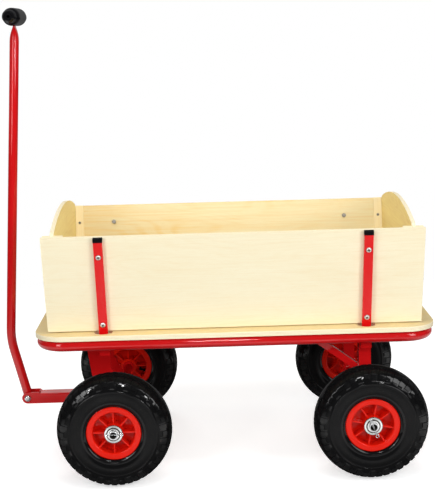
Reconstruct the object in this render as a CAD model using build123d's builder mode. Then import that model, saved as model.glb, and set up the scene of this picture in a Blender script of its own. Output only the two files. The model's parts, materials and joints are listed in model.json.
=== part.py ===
from build123d import *
import os
from math import cos, radians, sin, tan

# Hand wagon: a plywood box on a tube frame, with four pneumatic wheels, a swivelling front axle and a pull
# handle. Millimetres. +Z is up, the front is towards -X and the left side towards -Y. The origin is on the
# ground, in the middle of the box round the whole wagon.

# Wheels: tyre, plastic rim, hub bush and valve
wheel_diameter = 260
tyre_width = 83
tread_width = 70
tread_drop = 11
sidewall = 7
tread_thickness = 8
bead_width = 10
rim_flange_diameter = 125
rim_seat_diameter = 104
rim_width = 66
rim_flange_thickness = 8
rim_wall = 5
rim_web = 6
rib_count = 8
rib_thickness = 3
rib_recess = 6
hub_diameter = 42
hub_length = 72
bush_wall = 3
valve_diameter = 6
valve_length = 22
valve_cap_diameter = 8
valve_cap_length = 8
valve_offset = 13
rear_wheel_turn = 11

# Axles and what keeps the wheels on them
axle_diameter = 20
axle_bore = 15.5
axle_pin_margin = 4
axle_shoulder_diameter = 30
axle_shoulder_width = 6
hub_washer_diameter = 42
hub_washer_thickness = 2.5
pin_washer_diameter = 28
pin_washer_thickness = 2
split_pin_diameter = 3
split_pin_length = 36
split_pin_eye = 8
rear_pin_turn = 69

# Where the wheels stand, from the middle of the bed
track = 526
wheelbase = 580
rear_axle_offset = 301
kingpin_lead = 48

# Floor board and the tube frame under it
floor_length = 920
floor_width = 460
floor_thickness = 12
floor_corner = 72
floor_edge_round = 2.5
floor_height = 338
frame_diameter = 26
frame_wall = 1.5
frame_inset = 3
cross_diameter = 22
cross_wall = 1.5
brace_cross_offset = 166
head_cross_spacing = 110
rear_cross_spacing = 70
floor_bolt_diameter = 6
floor_bolt_head = 16
floor_bolt_dome = 3
floor_bolt_spacing = 240
floor_bolt_tail = 3

# Side boards, their battens and the end boards
board_thickness = 9
side_length = 854
side_height = 229
side_gap = 3
flare = 12
batten_thickness = 9
inner_batten_width = 20
outer_batten_width = 16
batten_margin = 3
groove_play = 0.5
batten_screw_diameter = 4
batten_screw_head = 7
batten_screw_dome = 1
batten_screw_inset = 45
batten_screw_bite = 4.5
end_board_height = 269
end_board_arch = 720
end_board_shoulder = 22
end_board_play = 1

# Stakes, their caps, sockets and bolts
stake_spacing = 600
stake_width = 20
stake_depth = 10
stake_wall = 1.5
stake_hole = 42
cap_height = 9
cap_lip = 0.5
cap_plug = 10
socket_wall = 2
socket_play = 0.3
socket_length = 42
stake_bolt_diameter = 6
stake_bolt_head = 12.5
stake_bolt_dome = 4
stake_bolt_below_top = 44
stake_bolt_above_foot = 19
nut_across = 10
nut_height = 4
head_round = 0.85
edge_round = 0.45

# Rear posts and braces
post_width = 28
post_wall = 2
post_spacing = 302
post_foot = 18
post_pad_thickness = 5
brace_width = 16
brace_wall = 1.5
brace_slope = 36.7

# Head plate, kingpin and steering fork
head_plate_width = 110
head_plate_margin = 10
head_plate_corner = 12
head_plate_thickness = 5
kingpin_diameter = 16
kingpin_hex = 24
kingpin_head_height = 8
kingpin_nut_height = 12
kingpin_tail = 3
thrust_ring_diameter = 58
thrust_ring_thickness = 6
fork_width = 104
fork_plate = 4
fork_top_front = 33
fork_top_rear = 27
fork_toe_front = 8
fork_rear_drop = 78
fork_boss = 22
fork_web_lead = 7
fork_web_height = 60
fork_lip_drop = 46
fork_lip = 9

# Drawbar and its hinge
hinge_offset = -511
hinge_height = 129
drawbar_width = 34
drawbar_height = 25
drawbar_wall = 3
ear_radius = 14
ear_length = 31
hinge_bolt_diameter = 10
hinge_bolt_head = 16
hinge_bolt_head_height = 6
hinge_nut_height = 8
hinge_bolt_tail = 3

# Pull handle and its grip
handle_diameter = 22
handle_wall = 1.5
handle_bush_diameter = 20
handle_lower_length = 151
handle_lower_lean = 13.5
handle_upper_length = 752.5
handle_upper_lean = 4.05
handle_bend = 180
handle_taper = 33
handle_taper_steps = 4
handle_tip_width = 30
handle_tip_thickness = 7
handle_tip_length = 30
grip_length = 184
grip_diameter = 41
grip_straight = 40
grip_end = 26
grip_end_round = 3
grip_hole = 7
grip_hole_depth = 15
grip_seat = 2
grip_pin_diameter = 4
grip_pin_length = 34

# Clearances: a shaft in its bore, two faces that turn against each other, and pieces that are fixed together
running_fit = 0.08
float_gap = 0.3
seat_gap = 0.05

# Heights and half sizes that follow from the sizes above
axle_z = wheel_diameter / 2
wheel_y = track / 2
axle_r = axle_diameter / 2
floor_bottom = floor_height - floor_thickness
frame_r = frame_diameter / 2
frame_z = floor_bottom - frame_r
rail_y = floor_width / 2 - frame_inset - frame_r
rail_x = floor_length / 2 - frame_inset - frame_r
frame_corner = floor_corner - frame_inset - frame_r
cross_r = cross_diameter / 2
cross_bottom = frame_z - cross_r
handle_r = handle_diameter / 2

# The bed is set back from the origin, so that the box from the handle's bend to the floor's end is centred
lower_lean = radians(handle_lower_lean)
upper_lean = radians(handle_upper_lean)
bend_tangent = handle_bend * tan((lower_lean + upper_lean) / 2)
bend_centre = (
    hinge_offset - (handle_lower_length - bend_tangent) * sin(lower_lean) + handle_bend * cos(lower_lean)
)
front_reach = handle_bend + handle_r - bend_centre
bed_x = (front_reach - floor_length / 2) / 2
rear_axle_x = bed_x + rear_axle_offset
front_axle_x = rear_axle_x - wheelbase
kingpin_x = front_axle_x - kingpin_lead
hinge_x = bed_x + hinge_offset

pieces = {}


# Wheels, drawn about the Y axis with the outer side towards +Y

wheel_r = wheel_diameter / 2
hub_r = hub_diameter / 2
bush_r = axle_r + running_fit + bush_wall
seat_r = rim_seat_diameter / 2
flange_r = rim_flange_diameter / 2
flange_mid_y = (rim_width - rim_flange_thickness) / 2
rim_inner_r = seat_r - rim_wall
rib_angle = 360 / rib_count

with BuildPart() as rim:
    with BuildSketch(Plane.XY):
        with Locations(((hub_r + bush_r) / 2, 0)):
            Rectangle(hub_r - bush_r, hub_length)
        with Locations(((hub_r + bush_r) / 2, 0)):
            Rectangle(seat_r - (hub_r + bush_r) / 2, rim_web, align=(Align.MIN, Align.CENTER))
        with Locations((rim_inner_r, 0)):
            Rectangle(rim_wall, 2 * flange_mid_y, align=(Align.MIN, Align.CENTER))
        with Locations((rim_inner_r, -flange_mid_y), (rim_inner_r, flange_mid_y)):
            RectangleRounded(
                flange_r - rim_inner_r,
                rim_flange_thickness,
                edge_round * rim_flange_thickness,
                align=(Align.MIN, Align.CENTER),
            )
    revolve(axis=Axis.Y)
    with BuildSketch(Plane.XZ):
        with PolarLocations((hub_r + rim_inner_r) / 2, rib_count):
            Rectangle(rim_inner_r - hub_r + rim_wall, rib_thickness)
    extrude(amount=rim_width / 2 - rib_recess, both=True)
    with Locations(Rotation(0, rib_angle / 2, 0)):
        with Locations(Location((seat_r, -valve_offset, 0), (0, 90, 0))):
            Cylinder(valve_diameter / 2 + seat_gap, 3 * rim_wall, mode=Mode.SUBTRACT)

with BuildPart() as hub_bush:
    with BuildSketch(Plane.XZ):
        Circle(bush_r - seat_gap)
        Circle(axle_r + running_fit, mode=Mode.SUBTRACT)
    extrude(amount=hub_length / 2, both=True)

with BuildPart() as valve:
    with Locations(Rotation(0, rib_angle / 2, 0)):
        with Locations(Location((seat_r - valve_length, -valve_offset, 0), (0, 90, 0))):
            Cylinder(valve_diameter / 2, valve_length, align=(Align.CENTER, Align.CENTER, Align.MIN))
            Cylinder(valve_cap_diameter / 2, valve_cap_length, align=(Align.CENTER, Align.CENTER, Align.MIN))

# The sidewall is one arc whose centre is level with the belly, from the rim's edge to the tread's shoulder
shoulder_r = wheel_r - tread_drop
belly_r = (flange_r + shoulder_r) / 2
tyre_y = tyre_width / 2
tread_y = tread_width / 2
wall_rise = ((shoulder_r - belly_r) ** 2 + tread_y**2 - tyre_y**2) / (2 * (tyre_y - tread_y))
lip_r = flange_r + float_gap
lip_y = ((tyre_y + wall_rise) ** 2 - (belly_r - lip_r) ** 2) ** 0.5 - wall_rise
bead_r = seat_r + seat_gap
bead_y = rim_width / 2 - rim_flange_thickness - seat_gap
bead_inner_y = bead_y - bead_width
crown_inner_r = wheel_r - tread_thickness
shoulder_inner_r = shoulder_r - tread_thickness
belly_inner_y = tyre_y - sidewall
shoulder_inner_y = tread_y - sidewall

with BuildPart() as tyre:
    with BuildSketch(Plane.XY):
        with BuildLine():
            Polyline((bead_r, bead_inner_y), (bead_r, bead_y), (lip_r, bead_y), (lip_r, lip_y))
            ThreePointArc((lip_r, lip_y), (belly_r, tyre_y), (shoulder_r, tread_y))
            ThreePointArc((shoulder_r, tread_y), (wheel_r, 0), (shoulder_r, -tread_y))
            ThreePointArc((shoulder_r, -tread_y), (belly_r, -tyre_y), (lip_r, -lip_y))
            Polyline((lip_r, -lip_y), (lip_r, -bead_y), (bead_r, -bead_y), (bead_r, -bead_inner_y))
            Line((bead_r, -bead_inner_y), (lip_r, -bead_inner_y))
            ThreePointArc(
                (lip_r, -bead_inner_y), (belly_r, -belly_inner_y), (shoulder_inner_r, -shoulder_inner_y)
            )
            ThreePointArc(
                (shoulder_inner_r, -shoulder_inner_y), (crown_inner_r, 0), (shoulder_inner_r, shoulder_inner_y)
            )
            ThreePointArc(
                (shoulder_inner_r, shoulder_inner_y), (belly_r, belly_inner_y), (lip_r, bead_inner_y)
            )
            Line((lip_r, bead_inner_y), (bead_r, bead_inner_y))
        make_face()
    revolve(axis=Axis.Y)

wheel_places = {
    "front_left": (front_axle_x, -wheel_y, 180, 0),
    "front_right": (front_axle_x, wheel_y, 0, 0),
    "rear_left": (rear_axle_x, -wheel_y, 180, -rear_wheel_turn),
    "rear_right": (rear_axle_x, wheel_y, 0, rear_wheel_turn),
}
for corner, (wheel_x, side_y, facing, turn) in wheel_places.items():
    for kind, shape in {"tyre": tyre, "rim": rim, "hub_bush": hub_bush, "valve": valve}.items():
        with BuildPart() as wheel_piece:
            with Locations(Location((wheel_x, side_y, axle_z), (0, 0, facing))):
                with Locations(Rotation(0, turn, 0)):
                    add(shape.part)
        pieces[f"{corner}_{kind}"] = wheel_piece


# Axles: a tube with an upset shoulder inside each wheel, and a washer and a split pin outside it

hub_start = wheel_y - hub_length / 2
hub_end = wheel_y + hub_length / 2
shoulder_y = hub_start - float_gap - axle_shoulder_width
hub_washer_y = hub_end + float_gap
pin_washer_y = hub_washer_y + hub_washer_thickness + seat_gap
pin_y = pin_washer_y + pin_washer_thickness + seat_gap + split_pin_diameter / 2
axle_end = pin_y + split_pin_diameter / 2 + axle_pin_margin

for axle_name, axle_x, pin_turn in (("front_axle", front_axle_x, 0), ("rear_axle", rear_axle_x, rear_pin_turn)):
    pin_places = [Location((axle_x, side * pin_y, axle_z), (0, pin_turn, 0)) for side in (-1, 1)]
    with BuildPart() as axle:
        with BuildSketch(Plane.XZ):
            with Locations((axle_x, axle_z)):
                Circle(axle_r)
        extrude(amount=axle_end, both=True)
        for side in (-1, 1):
            with BuildSketch(Plane.XZ.offset(-side * (shoulder_y + axle_shoulder_width / 2))):
                with Locations((axle_x, axle_z)):
                    Circle(axle_shoulder_diameter / 2)
            extrude(amount=axle_shoulder_width / 2, both=True)
        with BuildSketch(Plane.XZ):
            with Locations((axle_x, axle_z)):
                Circle(axle_bore / 2)
        extrude(amount=axle_end, both=True, mode=Mode.SUBTRACT)
        with Locations(pin_places):
            Cylinder(
                split_pin_diameter / 2 + seat_gap, 2 * axle_diameter, rotation=(0, 90, 0), mode=Mode.SUBTRACT
            )
    pieces[axle_name] = axle

    with BuildPart() as washers:
        for side in (-1, 1):
            for washer_r, thickness, start in (
                (hub_washer_diameter / 2, hub_washer_thickness, hub_washer_y),
                (pin_washer_diameter / 2, pin_washer_thickness, pin_washer_y),
            ):
                with BuildSketch(Plane.XZ.offset(-side * (start + thickness / 2))):
                    with Locations((axle_x, axle_z)):
                        Circle(washer_r)
                        Circle(axle_r + seat_gap, mode=Mode.SUBTRACT)
                extrude(amount=thickness / 2, both=True)
    pieces[f"{axle_name}_washers"] = washers

    with BuildPart() as split_pins:
        with Locations(pin_places):
            Cylinder(split_pin_diameter / 2, split_pin_length, rotation=(0, 90, 0))
            with Locations((split_pin_length / 2, 0, 0)):
                Cylinder(split_pin_eye / 2, split_pin_diameter, rotation=(90, 0, 0))
                Cylinder(
                    (split_pin_eye - split_pin_diameter) / 2,
                    2 * split_pin_diameter,
                    rotation=(90, 0, 0),
                    mode=Mode.SUBTRACT,
                )
    pieces[f"{axle_name}_split_pins"] = split_pins


# Frame: one tube bent into a loop, and cross members coped to its long sides

with BuildPart() as frame_tube:
    with BuildLine(Plane.XY.offset(frame_z)) as half_loop:
        FilletPolyline(
            (bed_x, -rail_y),
            (bed_x + rail_x, -rail_y),
            (bed_x + rail_x, rail_y),
            (bed_x, rail_y),
            radius=frame_corner,
        )
    with BuildSketch(Plane(origin=(bed_x, -rail_y, frame_z), z_dir=(1, 0, 0))):
        Circle(frame_r)
        Circle(frame_r - frame_wall, mode=Mode.SUBTRACT)
    sweep(path=half_loop.line)
    mirror(about=Plane.YZ.offset(bed_x))
pieces["frame_tube"] = frame_tube

with BuildPart() as frame_envelope:
    with BuildSketch(Plane(origin=(bed_x, -rail_y, frame_z), z_dir=(1, 0, 0))):
        Circle(frame_r + seat_gap)
    sweep(path=half_loop.line)
    mirror(about=Plane.YZ.offset(bed_x))

# Two cross members stand either side of the kingpin and of the rear axle, and clear of the stakes' sockets
socket_clear = stake_width / 2 + socket_play + socket_wall + cross_r + float_gap
front_socket_x = bed_x - stake_spacing / 2
rear_socket_x = bed_x + stake_spacing / 2
head_cross_x = [
    min(kingpin_x - head_cross_spacing / 2, front_socket_x - socket_clear),
    max(kingpin_x + head_cross_spacing / 2, front_socket_x + socket_clear),
]
rear_cross_x = [
    min(rear_axle_x - rear_cross_spacing / 2, rear_socket_x - socket_clear),
    max(rear_axle_x + rear_cross_spacing / 2, rear_socket_x + socket_clear),
]
cross_places = [*head_cross_x, bed_x + brace_cross_offset, *rear_cross_x]
floor_bolt_places = [
    (x, side * floor_bolt_spacing / 2) for x in (head_cross_x[0], rear_cross_x[1]) for side in (-1, 1)
]

with BuildPart() as cross_members:
    with Locations([Location((x, 0, frame_z), (90, 0, 0)) for x in cross_places]):
        Cylinder(cross_r, 2 * rail_y)
        Cylinder(cross_r - cross_wall, 2 * rail_y, mode=Mode.SUBTRACT)
    add(frame_envelope.part, mode=Mode.SUBTRACT)
    with Locations([(x, y, frame_z) for x, y in floor_bolt_places]):
        Cylinder(floor_bolt_diameter / 2 + seat_gap, 2 * cross_diameter, mode=Mode.SUBTRACT)
pieces["cross_members"] = cross_members


# Floor board. The stakes stand just inside the frame, so their place comes from it

flare_angle = radians(flare)
side_foot_z = floor_height + side_gap
frame_to_board = frame_r + seat_gap + socket_wall + socket_play + stake_depth
side_foot_y = rail_y - (frame_to_board - (side_foot_z - frame_z) * sin(flare_angle)) / cos(flare_angle)
stake_foot_y = side_foot_y + stake_depth / 2 / cos(flare_angle)
stake_hole_y = stake_foot_y - (side_gap + floor_thickness / 2) * tan(flare_angle)

with BuildPart() as floor_board:
    with BuildSketch(Plane.XY.offset(floor_bottom)):
        with Locations((bed_x, 0)):
            RectangleRounded(floor_length, floor_width, floor_corner)
            with GridLocations(stake_spacing, 2 * stake_hole_y, 2, 2):
                Circle(stake_hole / 2, mode=Mode.SUBTRACT)
        with Locations(floor_bolt_places):
            Circle(floor_bolt_diameter / 2 + seat_gap, mode=Mode.SUBTRACT)
    extrude(amount=floor_thickness)
    fillet(floor_board.faces().sort_by(Axis.Z)[-1].outer_wire().edges(), floor_edge_round)
pieces["floor_board"] = floor_board

floor_bolt_end = cross_bottom - nut_height - floor_bolt_tail
with BuildPart() as floor_bolts:
    with BuildSketch(Plane.XY.offset(floor_height)):
        with Locations(floor_bolt_places):
            Circle(floor_bolt_head / 2)
    extrude(amount=floor_bolt_dome)
    fillet(floor_bolts.edges().group_by(Axis.Z)[-1], head_round * floor_bolt_dome)
    with BuildSketch(Plane.XY.offset(floor_bolt_end)):
        with Locations(floor_bolt_places):
            Circle(floor_bolt_diameter / 2)
    extrude(amount=floor_height - floor_bolt_end)
    with BuildSketch(Plane.XY.offset(cross_bottom - nut_height)):
        with Locations(floor_bolt_places):
            RegularPolygon(nut_across / 2, 6, major_radius=False)
            Circle(floor_bolt_diameter / 2 + seat_gap, mode=Mode.SUBTRACT)
    extrude(amount=nut_height)
pieces["floor_bolts"] = floor_bolts


# Side boards and what is fixed to them, drawn on the left board's outer face and mirrored to the right

side_plane = Plane(
    origin=(bed_x, -side_foot_y, side_foot_z),
    x_dir=(1, 0, 0),
    z_dir=(0, -cos(flare_angle), -sin(flare_angle)),
)
inner_face = side_plane.offset(-board_thickness)
batten_face = inner_face.offset(-batten_thickness)
stake_mid = side_plane.offset(stake_depth / 2)
stake_face = side_plane.offset(stake_depth)
groove_outer_x = side_length / 2 - batten_margin - outer_batten_width
groove_inner_x = groove_outer_x - board_thickness - 2 * groove_play
inner_batten_x = groove_inner_x - inner_batten_width / 2
outer_batten_x = groove_outer_x + outer_batten_width / 2
stake_x = stake_spacing / 2
bolt_heights = (stake_bolt_above_foot, side_height - stake_bolt_below_top)
bolt_places = [(end * stake_x, up) for end in (-1, 1) for up in bolt_heights]
screw_heights = (batten_screw_inset, side_height - batten_screw_inset)
screw_places = [
    (end * x, up) for end in (-1, 1) for x in (inner_batten_x, outer_batten_x) for up in screw_heights
]
socket_foot = (floor_bottom - socket_length - side_foot_z) / cos(flare_angle)
stake_foot = socket_foot + socket_wall + socket_play
stake_top = side_height - cap_height
left = {}

with BuildPart() as side_board:
    with BuildSketch(side_plane):
        with Locations((0, side_height / 2)):
            Rectangle(side_length, side_height)
        with Locations(bolt_places):
            Circle(stake_bolt_diameter / 2 + seat_gap, mode=Mode.SUBTRACT)
    extrude(amount=-board_thickness)
    with BuildSketch(inner_face):
        with Locations(screw_places):
            Circle(batten_screw_diameter / 2 + seat_gap)
    extrude(amount=batten_screw_bite + seat_gap, mode=Mode.SUBTRACT)
left["side_board"] = side_board

for stake_end, x in {"front_stake": -stake_x, "rear_stake": stake_x}.items():
    with BuildPart() as stake:
        with BuildSketch(stake_mid):
            with Locations((x, stake_foot)):
                Rectangle(stake_width, stake_top - stake_foot, align=(Align.CENTER, Align.MIN))
        extrude(amount=stake_depth / 2, both=True)
        with BuildSketch(stake_mid):
            with Locations((x, stake_foot)):
                Rectangle(
                    stake_width - 2 * stake_wall, stake_top - stake_foot, align=(Align.CENTER, Align.MIN)
                )
        extrude(amount=stake_depth / 2 - stake_wall, both=True, mode=Mode.SUBTRACT)
        with BuildSketch(side_plane):
            with Locations([(x, up) for up in bolt_heights]):
                Circle(stake_bolt_diameter / 2 + seat_gap)
        extrude(amount=stake_depth, mode=Mode.SUBTRACT)
    left[stake_end] = stake

# A cap stands on each stake's end, with a plug inside the tube
with BuildPart() as stake_caps:
    with BuildSketch(side_plane):
        with Locations((-stake_x, stake_top), (stake_x, stake_top)):
            Rectangle(stake_width + 2 * cap_lip, cap_height, align=(Align.CENTER, Align.MIN))
    extrude(amount=stake_depth + cap_lip)
    fillet(stake_caps.edges().filter_by(Axis.X).sort_by(Axis.Y)[:2], cap_lip)
    with BuildSketch(stake_mid):
        with Locations((-stake_x, stake_top), (stake_x, stake_top)):
            Rectangle(
                stake_width - 2 * stake_wall - 2 * seat_gap, cap_plug, align=(Align.CENTER, Align.MAX)
            )
    extrude(amount=stake_depth / 2 - stake_wall - seat_gap, both=True)
left["stake_caps"] = stake_caps

for batten_kind, x, width in (
    ("inner_battens", inner_batten_x, inner_batten_width),
    ("outer_battens", outer_batten_x, outer_batten_width),
):
    with BuildPart() as battens:
        with BuildSketch(inner_face):
            with Locations((-x, 0), (x, 0)):
                Rectangle(width, side_height, align=(Align.CENTER, Align.MIN))
            with Locations([(end * x, up) for end in (-1, 1) for up in screw_heights]):
                Circle(batten_screw_diameter / 2 + seat_gap, mode=Mode.SUBTRACT)
        extrude(amount=-batten_thickness)
    left[batten_kind] = battens

with BuildPart() as stake_bolts:
    with BuildSketch(stake_face):
        with Locations(bolt_places):
            Circle(stake_bolt_head / 2)
    extrude(amount=stake_bolt_dome)
    outwards = Axis(stake_face.origin, stake_face.z_dir)
    fillet(stake_bolts.edges().group_by(outwards)[-1], head_round * stake_bolt_dome)
    with BuildSketch(stake_face):
        with Locations(bolt_places):
            Circle(stake_bolt_diameter / 2)
    extrude(amount=-(stake_depth + board_thickness + nut_height))
    with BuildSketch(inner_face):
        with Locations(bolt_places):
            RegularPolygon(nut_across / 2, 6, major_radius=False)
            Circle(stake_bolt_diameter / 2 + seat_gap, mode=Mode.SUBTRACT)
    extrude(amount=-nut_height)
left["stake_bolts"] = stake_bolts

with BuildPart() as batten_screws:
    with BuildSketch(batten_face):
        with Locations(screw_places):
            Circle(batten_screw_diameter / 2)
    extrude(amount=batten_thickness + batten_screw_bite)
    with BuildSketch(batten_face):
        with Locations(screw_places):
            Circle(batten_screw_head / 2)
    extrude(amount=-batten_screw_dome)
left["batten_screws"] = batten_screws

for kind, left_piece in left.items():
    pieces[f"left_{kind}"] = left_piece
    with BuildPart() as right_piece:
        mirror(left_piece.part, about=Plane.XZ)
    pieces[f"right_{kind}"] = right_piece


# Sockets under the floor, welded to the inner sides of the frame

socket_width = stake_width + 2 * socket_play
socket_depth = stake_depth + 2 * socket_play
with BuildPart() as stake_sockets:
    with BuildSketch(stake_mid):
        with Locations((-stake_x, socket_foot), (stake_x, socket_foot)):
            Rectangle(socket_width + 2 * socket_wall, -socket_foot, align=(Align.CENTER, Align.MIN))
    extrude(amount=socket_depth / 2 + socket_wall, both=True)
    with BuildSketch(stake_mid):
        with Locations((-stake_x, socket_foot + socket_wall), (stake_x, socket_foot + socket_wall)):
            Rectangle(socket_width, -socket_foot, align=(Align.CENTER, Align.MIN))
    extrude(amount=socket_depth / 2, both=True, mode=Mode.SUBTRACT)
    split(bisect_by=Plane.XY.offset(floor_bottom), keep=Keep.BOTTOM)
    mirror(about=Plane.XZ)
pieces["stake_sockets"] = stake_sockets


# End boards: an arched top over flared edges that drop into the grooves between the battens

end_foot_z = floor_height + float_gap
end_top_z = end_foot_z + end_board_height
side_inner_y = side_foot_y - board_thickness / cos(flare_angle)
end_foot_y = side_inner_y - (side_foot_z - end_foot_z) * tan(flare_angle) - end_board_play
end_top_y = end_foot_y + end_board_height * tan(flare_angle)
groove_mid_x = (groove_inner_x + groove_outer_x) / 2

for end_name, end in {"front_end_board": -1, "rear_end_board": 1}.items():
    with BuildPart() as end_board:
        with BuildSketch(Plane.YZ.offset(bed_x + end * groove_mid_x)) as end_outline:
            with BuildLine():
                Polyline(
                    (-end_foot_y, end_foot_z),
                    (end_foot_y, end_foot_z),
                    (end_top_y, end_top_z),
                    (-end_top_y, end_top_z),
                    close=True,
                )
            make_face()
            with Locations((0, end_top_z - end_board_arch)):
                Circle(end_board_arch, mode=Mode.INTERSECT)
            fillet(end_outline.vertices().group_by(Axis.Y)[-1], end_board_shoulder)
        extrude(amount=board_thickness / 2, both=True)
    pieces[end_name] = end_board


# Rear posts hang from the rear cross members and carry the axle, each with a brace to the next one forward

post_foot_z = axle_z - post_foot
post_pad_z = cross_bottom - post_pad_thickness
post_front_x = rear_axle_x - post_width / 2
post_pad_length = rear_cross_x[1] - rear_cross_x[0] + cross_diameter
post_pad_x = (rear_cross_x[0] + rear_cross_x[1]) / 2
brace_x = bed_x + brace_cross_offset
brace_angle = radians(brace_slope)
for side_name, side in {"left": -1, "right": 1}.items():
    post_y = side * post_spacing / 2
    with BuildPart() as post:
        with BuildSketch(Plane.XY.offset(post_foot_z)):
            with Locations((rear_axle_x, post_y)):
                Rectangle(post_width, post_width)
                Rectangle(post_width - 2 * post_wall, post_width - 2 * post_wall, mode=Mode.SUBTRACT)
        extrude(amount=post_pad_z - post_foot_z)
        with BuildSketch(Plane.XY.offset(post_pad_z)):
            with Locations((post_pad_x, post_y)):
                Rectangle(post_pad_length, post_width)
        extrude(amount=post_pad_thickness)
        with Locations(Location((rear_axle_x, post_y, axle_z), (90, 0, 0))):
            Cylinder(axle_r + seat_gap, 2 * post_width, mode=Mode.SUBTRACT)
    pieces[f"{side_name}_rear_post"] = post

    # The brace is drawn too long and cut back to the post's face and the cross member's tube
    brace_plane = Plane(
        origin=(brace_x, post_y, frame_z),
        x_dir=(0, 1, 0),
        z_dir=(cos(brace_angle), 0, -sin(brace_angle)),
    )
    with BuildPart() as brace:
        with BuildSketch(brace_plane):
            Rectangle(brace_width, brace_width)
            Rectangle(brace_width - 2 * brace_wall, brace_width - 2 * brace_wall, mode=Mode.SUBTRACT)
        extrude(amount=2 * (post_front_x - brace_x))
        split(bisect_by=Plane.YZ.offset(post_front_x - seat_gap), keep=Keep.BOTTOM)
        with Locations(Location((brace_x, post_y, frame_z), (90, 0, 0))):
            Cylinder(cross_r + seat_gap, 2 * brace_width, mode=Mode.SUBTRACT)
    pieces[f"{side_name}_rear_brace"] = brace


# Head plate, thrust ring and kingpin

head_plate_z = cross_bottom - head_plate_thickness
ring_z = head_plate_z - thrust_ring_thickness
fork_top = ring_z - float_gap
fork_under = fork_top - fork_plate
nut_top = fork_under - float_gap
kingpin_end = nut_top - kingpin_nut_height - kingpin_tail
kingpin_r = kingpin_diameter / 2
head_plate_length = head_cross_x[1] - head_cross_x[0] + cross_diameter + 2 * head_plate_margin
head_plate_x = (head_cross_x[0] + head_cross_x[1]) / 2

with BuildPart() as head_plate:
    with BuildSketch(Plane.XY.offset(head_plate_z)):
        with Locations((head_plate_x, 0)):
            RectangleRounded(head_plate_length, head_plate_width, head_plate_corner)
        with Locations((kingpin_x, 0)):
            Circle(kingpin_r + seat_gap, mode=Mode.SUBTRACT)
    extrude(amount=head_plate_thickness)
pieces["head_plate"] = head_plate

with BuildPart() as thrust_ring:
    with BuildSketch(Plane.XY.offset(ring_z)):
        with Locations((kingpin_x, 0)):
            Circle(thrust_ring_diameter / 2)
            Circle(kingpin_r + seat_gap, mode=Mode.SUBTRACT)
    extrude(amount=thrust_ring_thickness)
pieces["thrust_ring"] = thrust_ring

with BuildPart() as kingpin:
    with BuildSketch(Plane.XY.offset(cross_bottom)):
        with Locations((kingpin_x, 0)):
            RegularPolygon(kingpin_hex / 2, 6, major_radius=False)
    extrude(amount=kingpin_head_height)
    with BuildSketch(Plane.XY.offset(kingpin_end)):
        with Locations((kingpin_x, 0)):
            Circle(kingpin_r)
    extrude(amount=cross_bottom - kingpin_end)
    with BuildSketch(Plane.XY.offset(nut_top - kingpin_nut_height)):
        with Locations((kingpin_x, 0)):
            RegularPolygon(kingpin_hex / 2, 6, major_radius=False)
            Circle(kingpin_r + seat_gap, mode=Mode.SUBTRACT)
    extrude(amount=kingpin_nut_height)
pieces["kingpin"] = kingpin


# Steering fork: a bent plate with two cheeks that trail back to the front axle, and a web for the drawbar

fork_y = fork_width / 2
boss_foot = axle_z - fork_boss
fork_rear_x = kingpin_x + fork_top_rear
web_x = kingpin_x - fork_web_lead
lip_z = fork_top - fork_lip_drop
with BuildPart() as steering_fork:
    with BuildSketch(Plane.XZ):
        with BuildLine():
            Polyline(
                (front_axle_x, boss_foot),
                (kingpin_x - fork_toe_front, boss_foot),
                (kingpin_x - fork_top_front, fork_top),
                (fork_rear_x, fork_top),
                (fork_rear_x, fork_top - fork_rear_drop),
                (front_axle_x + fork_boss, axle_z),
            )
            ThreePointArc(
                (front_axle_x + fork_boss, axle_z),
                (front_axle_x + fork_boss * sin(radians(45)), axle_z - fork_boss * cos(radians(45))),
                (front_axle_x, boss_foot),
            )
        make_face()
    extrude(amount=fork_y, both=True)
    with BuildSketch(Plane.XZ):
        with Locations((kingpin_x, fork_under)):
            Rectangle(2 * (kingpin_lead + 2 * fork_boss), fork_under, align=(Align.CENTER, Align.MAX))
    extrude(amount=fork_y - fork_plate, both=True, mode=Mode.SUBTRACT)
    with BuildSketch(Plane.YZ.offset(web_x)):
        with Locations((0, boss_foot)):
            Rectangle(fork_width - fork_plate, fork_web_height, align=(Align.CENTER, Align.MIN))
    extrude(amount=fork_plate)
    with BuildSketch(Plane.XY.offset(lip_z)):
        with Locations((fork_rear_x, -fork_y), (fork_rear_x, fork_y)):
            Rectangle(fork_top_rear, 2 * fork_lip, align=(Align.MAX, Align.CENTER))
    extrude(amount=fork_plate)
    with Locations((kingpin_x, 0, fork_top)):
        Cylinder(kingpin_r + running_fit, 4 * fork_plate, mode=Mode.SUBTRACT)
    with Locations(Location((front_axle_x, 0, axle_z), (90, 0, 0))):
        Cylinder(axle_r + seat_gap, 2 * fork_width, mode=Mode.SUBTRACT)
pieces["steering_fork"] = steering_fork


# Drawbar: a channel open underneath, whose flanges run on past its top as two ears for the hinge bolt

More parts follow.
